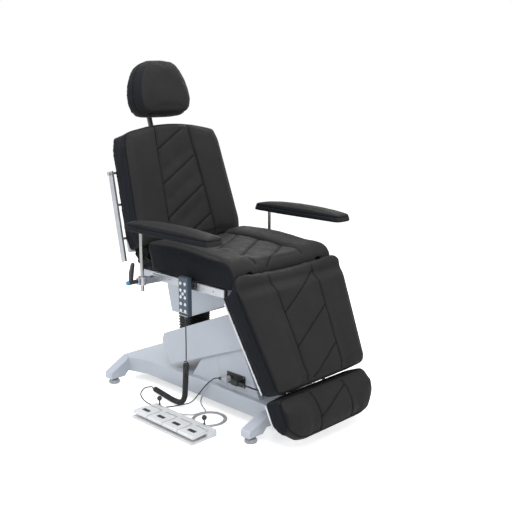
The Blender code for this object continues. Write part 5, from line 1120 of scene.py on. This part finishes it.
def make_gusset():
    """Folded vinyl that closes the gap between seat and back on both sides."""
    shape = bmesh.new()
    corners = (GUSSET_REAR_LOW, GUSSET_FRONT_LOW, GUSSET_TAIL, GUSSET_NOSE)
    rear_low, front_low, tail, nose = [Vector((x + SHIFT, 0.0, z)) for x, z in corners]
    for sign in (-1.0, 1.0):
        borders = []
        for outside in (True, False):
            rows = []
            for level in range(GUSSET_UP + 1):
                t = level / GUSSET_UP
                row = []
                for step in range(GUSSET_ALONG + 1):
                    u = step / GUSSET_ALONG
                    spot = rear_low.lerp(front_low, u).lerp(tail.lerp(nose, u), t)
                    reach = gusset_reach(u, t, sign) if outside else GUSSET_INSIDE
                    row.append(shape.verts.new(spot + Vector((0.0, sign * reach, 0.0))))
                rows.append(row)
            for low, high in zip(rows, rows[1:]):
                for step in range(GUSSET_ALONG):
                    shape.faces.new((low[step], low[step + 1], high[step + 1], high[step]))
            borders.append(rows[0] + [row[-1] for row in rows[1:-1]] + rows[-1][::-1]
                           + [row[0] for row in rows[-2:0:-1]])
        bridge(shape, *borders)
    base = Vector((rear_low.x, 0.0, 0.0))
    slab(shape, base + Vector(GUSSET_HEM[0]), base + Vector(GUSSET_HEM[1]), 0.002)
    bmesh.ops.recalc_face_normals(shape, faces=shape.faces)
    piece = new_piece("hip_gusset", shape, GUSSET)
    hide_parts("hip_skirt")
    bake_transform(piece)


def make_handset_face():
    middle = (HANDSET_X[0] + HANDSET_X[1]) / 2.0 + SHIFT
    spots = [(middle + side * KEY_SIDE, KEY_FIRST - row * KEY_PITCH)
             for row in range(KEY_ROWS) for side in (-1.0, 1.0)]
    spots.append((middle, KEY_FIRST - 1.5 * KEY_PITCH))
    keys = bmesh.new()
    rims = bmesh.new()
    for x, z in spots:
        seat = (x, HANDSET_FACE + 0.0004, z)
        disc(keys, seat, NEAR, KEY_RADIUS, KEY_HEIGHT, dome=0.12)
        disc(rims, seat, NEAR, KEY_RIM_RADIUS, KEY_RIM_HEIGHT)
    rider("handset_keys", keys, KEY, "carriage")
    rider("handset_key_rims", rims, BLACK, "carriage")
    left = HANDSET_X[0] + SHIFT + STRIP_INSET
    right = HANDSET_X[1] + SHIFT - STRIP_INSET
    inside = HANDSET_FACE + 0.0030
    strip = bmesh.new()
    slab(strip, (left, HANDSET_FACE - 0.0010, STRIP_Z[0]), (right, inside, STRIP_Z[1]), 0.0006)
    rider("handset_end_strip", strip, BLACK, "carriage")
    lines = bmesh.new()
    for low in STRIP_EDGES_Z:
        slab(lines, (left, HANDSET_FACE - 0.0014, low), (right, inside, low + STRIP_EDGE), 0.0004)
    rider("handset_strip_edges", lines, PALE, "carriage")


def make_rail_details():
    for name, sign in (("right", -1.0), ("left", 1.0)):
        outwards = (0.0, sign, 0.0)
        screws = bmesh.new()
        for x in RAIL_SCREWS_X:
            seat = (x + SHIFT, sign * (RAIL_Y - 0.0002), CLAMP_MIDDLE)
            disc(screws, seat, outwards, 0.0042, 0.0014, 18)
        rider(f"rail_screws_{name}", screws, STEEL, "carriage")
        ends = bmesh.new()
        inner, outer = sorted(sign * y for y in RAIL_CAP_Y)
        slab(ends, (RAIL_FRONT + SHIFT + 0.0001, inner, RAIL_Z[0] - 0.0004),
             (RAIL_FRONT + SHIFT + RAIL_CAP, outer, RAIL_Z[1] + 0.0004), 0.0012)
        rider(f"rail_end_{name}", ends, BLACK, "carriage")
        button = bmesh.new()
        seat = (POST_X + SHIFT, sign * (LEVER_REACH - 0.0065), CLAMP_MIDDLE)
        disc(button, seat, outwards, 0.0092, 0.0078, 28, 0.10)
        rider(f"lever_button_{name}", button, BLUE, f"lever_{name}")
    clamp = bmesh.new()
    slab(clamp, (0.0790 + SHIFT, -0.3080, 0.5860), (0.0890 + SHIFT, -0.3003, 0.6140), 0.0015)
    disc(clamp, (0.0840 + SHIFT, -0.3078, 0.5930), NEAR, 0.0042, 0.0040, 20)
    rider("rail_clamp", clamp, BLACK, "carriage")


def make_panel_details():
    outer = -TOWER_HALF - GAP - PANEL_PLATE - PANEL_BEAD
    screws = bmesh.new()
    for x in PANEL_SCREWS_X:
        for z in PANEL_SCREWS_Z:
            disc(screws, (x + SHIFT, outer + 0.0002, z), NEAR, 0.0033, 0.0010, 18)
    rider("panel_screws", screws, STEEL, "base")
    boot = bmesh.new()
    start = Vector(BOOT_START)
    end = Vector(BOOT_END)
    side = Vector((0.0, 1.0, 0.0))
    other = (end - start).normalized().cross(side)
    capped(boot, [circle(start.lerp(end, share), side, other, radius, 20) for share, radius in BOOT_RIBS])
    bmesh.ops.recalc_face_normals(boot, faces=boot.faces)
    rider("connector_boot", boot, BLACK, "base")


def make_pedal_inserts():
    pitch = (FOOT_CONTROL_X[1] - FOOT_CONTROL_X[0]) / PEDALS
    for index in range(PEDALS):
        middle = FOOT_CONTROL_X[0] + pitch * (index + 0.5) + SHIFT
        insert = bmesh.new()
        slab(insert, (middle - INSERT_HALF, INSERT_Y[0], INSERT_Z[0]),
             (middle + INSERT_HALF, INSERT_Y[1], INSERT_Z[1]), 0.0006)
        for step in range(TREADS):
            x = middle + TREAD_PITCH * (step - (TREADS - 1) / 2.0)
            slab(insert, (x - TREAD_HALF, TREAD_Y[0], TREAD_Z[0]),
                 (x + TREAD_HALF, TREAD_Y[1], TREAD_Z[1]), 0.0004)
        rider(f"pedal_insert_{index + 1}", insert, BLACK, f"pedal_{index + 1}")


def make_board_edges():
    """Pale edging along the sides of the legrest's and footrest's boards."""
    section = ((EDGE_REAR, EDGE_DEPTH), (EDGE_FRONT, EDGE_DEPTH), (EDGE_FRONT, EDGE_ROUND),
               (EDGE_FRONT - EDGE_ROUND, 0.0), (EDGE_REAR + EDGE_ROUND, 0.0), (EDGE_REAR, EDGE_ROUND))
    for name, body, side in (("leg", "leg", LEG_EDGE), ("foot", "footrest", FOOT_EDGE)):
        edges = bmesh.new()
        for sign in (-1.0, 1.0):
            rings = []
            for index, spot in enumerate(side):
                before = Vector(side[max(index - 1, 0)])
                after = Vector(side[min(index + 1, len(side) - 1)])
                run = (after - before).normalized()
                inward = Vector((run.y, -run.x))
                ring = []
                for x, depth in section:
                    y, z = Vector(spot) + inward * depth
                    ring.append(LEG @ Vector((x, sign * y, z)))
                rings.append(ring)
            capped(edges, rings)
        bmesh.ops.recalc_face_normals(edges, faces=edges.faces)
        rider(f"{name}_board_edges", edges, PANEL, body)


make_studio()
make_cords()
make_bellows()
make_panel_details()
make_pedal_inserts()
make_gusset()
make_handset_face()
make_rail_details()
make_back_cushion()
make_headrest()
make_seat()
make_legrest()
make_footrest()
make_board_edges()
make_arm_pads()

dress(PAINT, "base_frame", "tower_rear_cover", "tower_front_cover", "arm_shell", "upper_housing",
      "seat_frame")
dress(PANEL, "back_frame", "leg_frame")
dress(STEEL, "lift_shaft", "arm_rear_shaft", "lift_rod", "leg_hinge_shaft", "back_hinge_shaft",
      "foot_frame", "arm_post_right", "arm_post_left")
dress(RAIL, "seat_rail_right", "seat_rail_left")
dress(BACK_RAIL, "back_rail_right", "back_rail_left")
dress(IRON, "tower_frame", "level_link", "lift_actuator", "carriage_yoke", "head_post", "head_bracket")
dress(GLIDE, "foot_glide_rear_right", "foot_glide_rear_left", "foot_glide_front_right",
      "foot_glide_front_left")
dress(DEEP, "power_panel", "mains_plug")
dress(BLACK, "wall_plug", "clamp_lever_right", "clamp_lever_left",
      "ball_lever_rear", "ball_lever_front")
dress(SLATE, "handset")
dress(HOOD, "handset_connector")
dress(PALE, "foot_control_base", "pedal_1", "pedal_2", "pedal_3", "pedal_4")
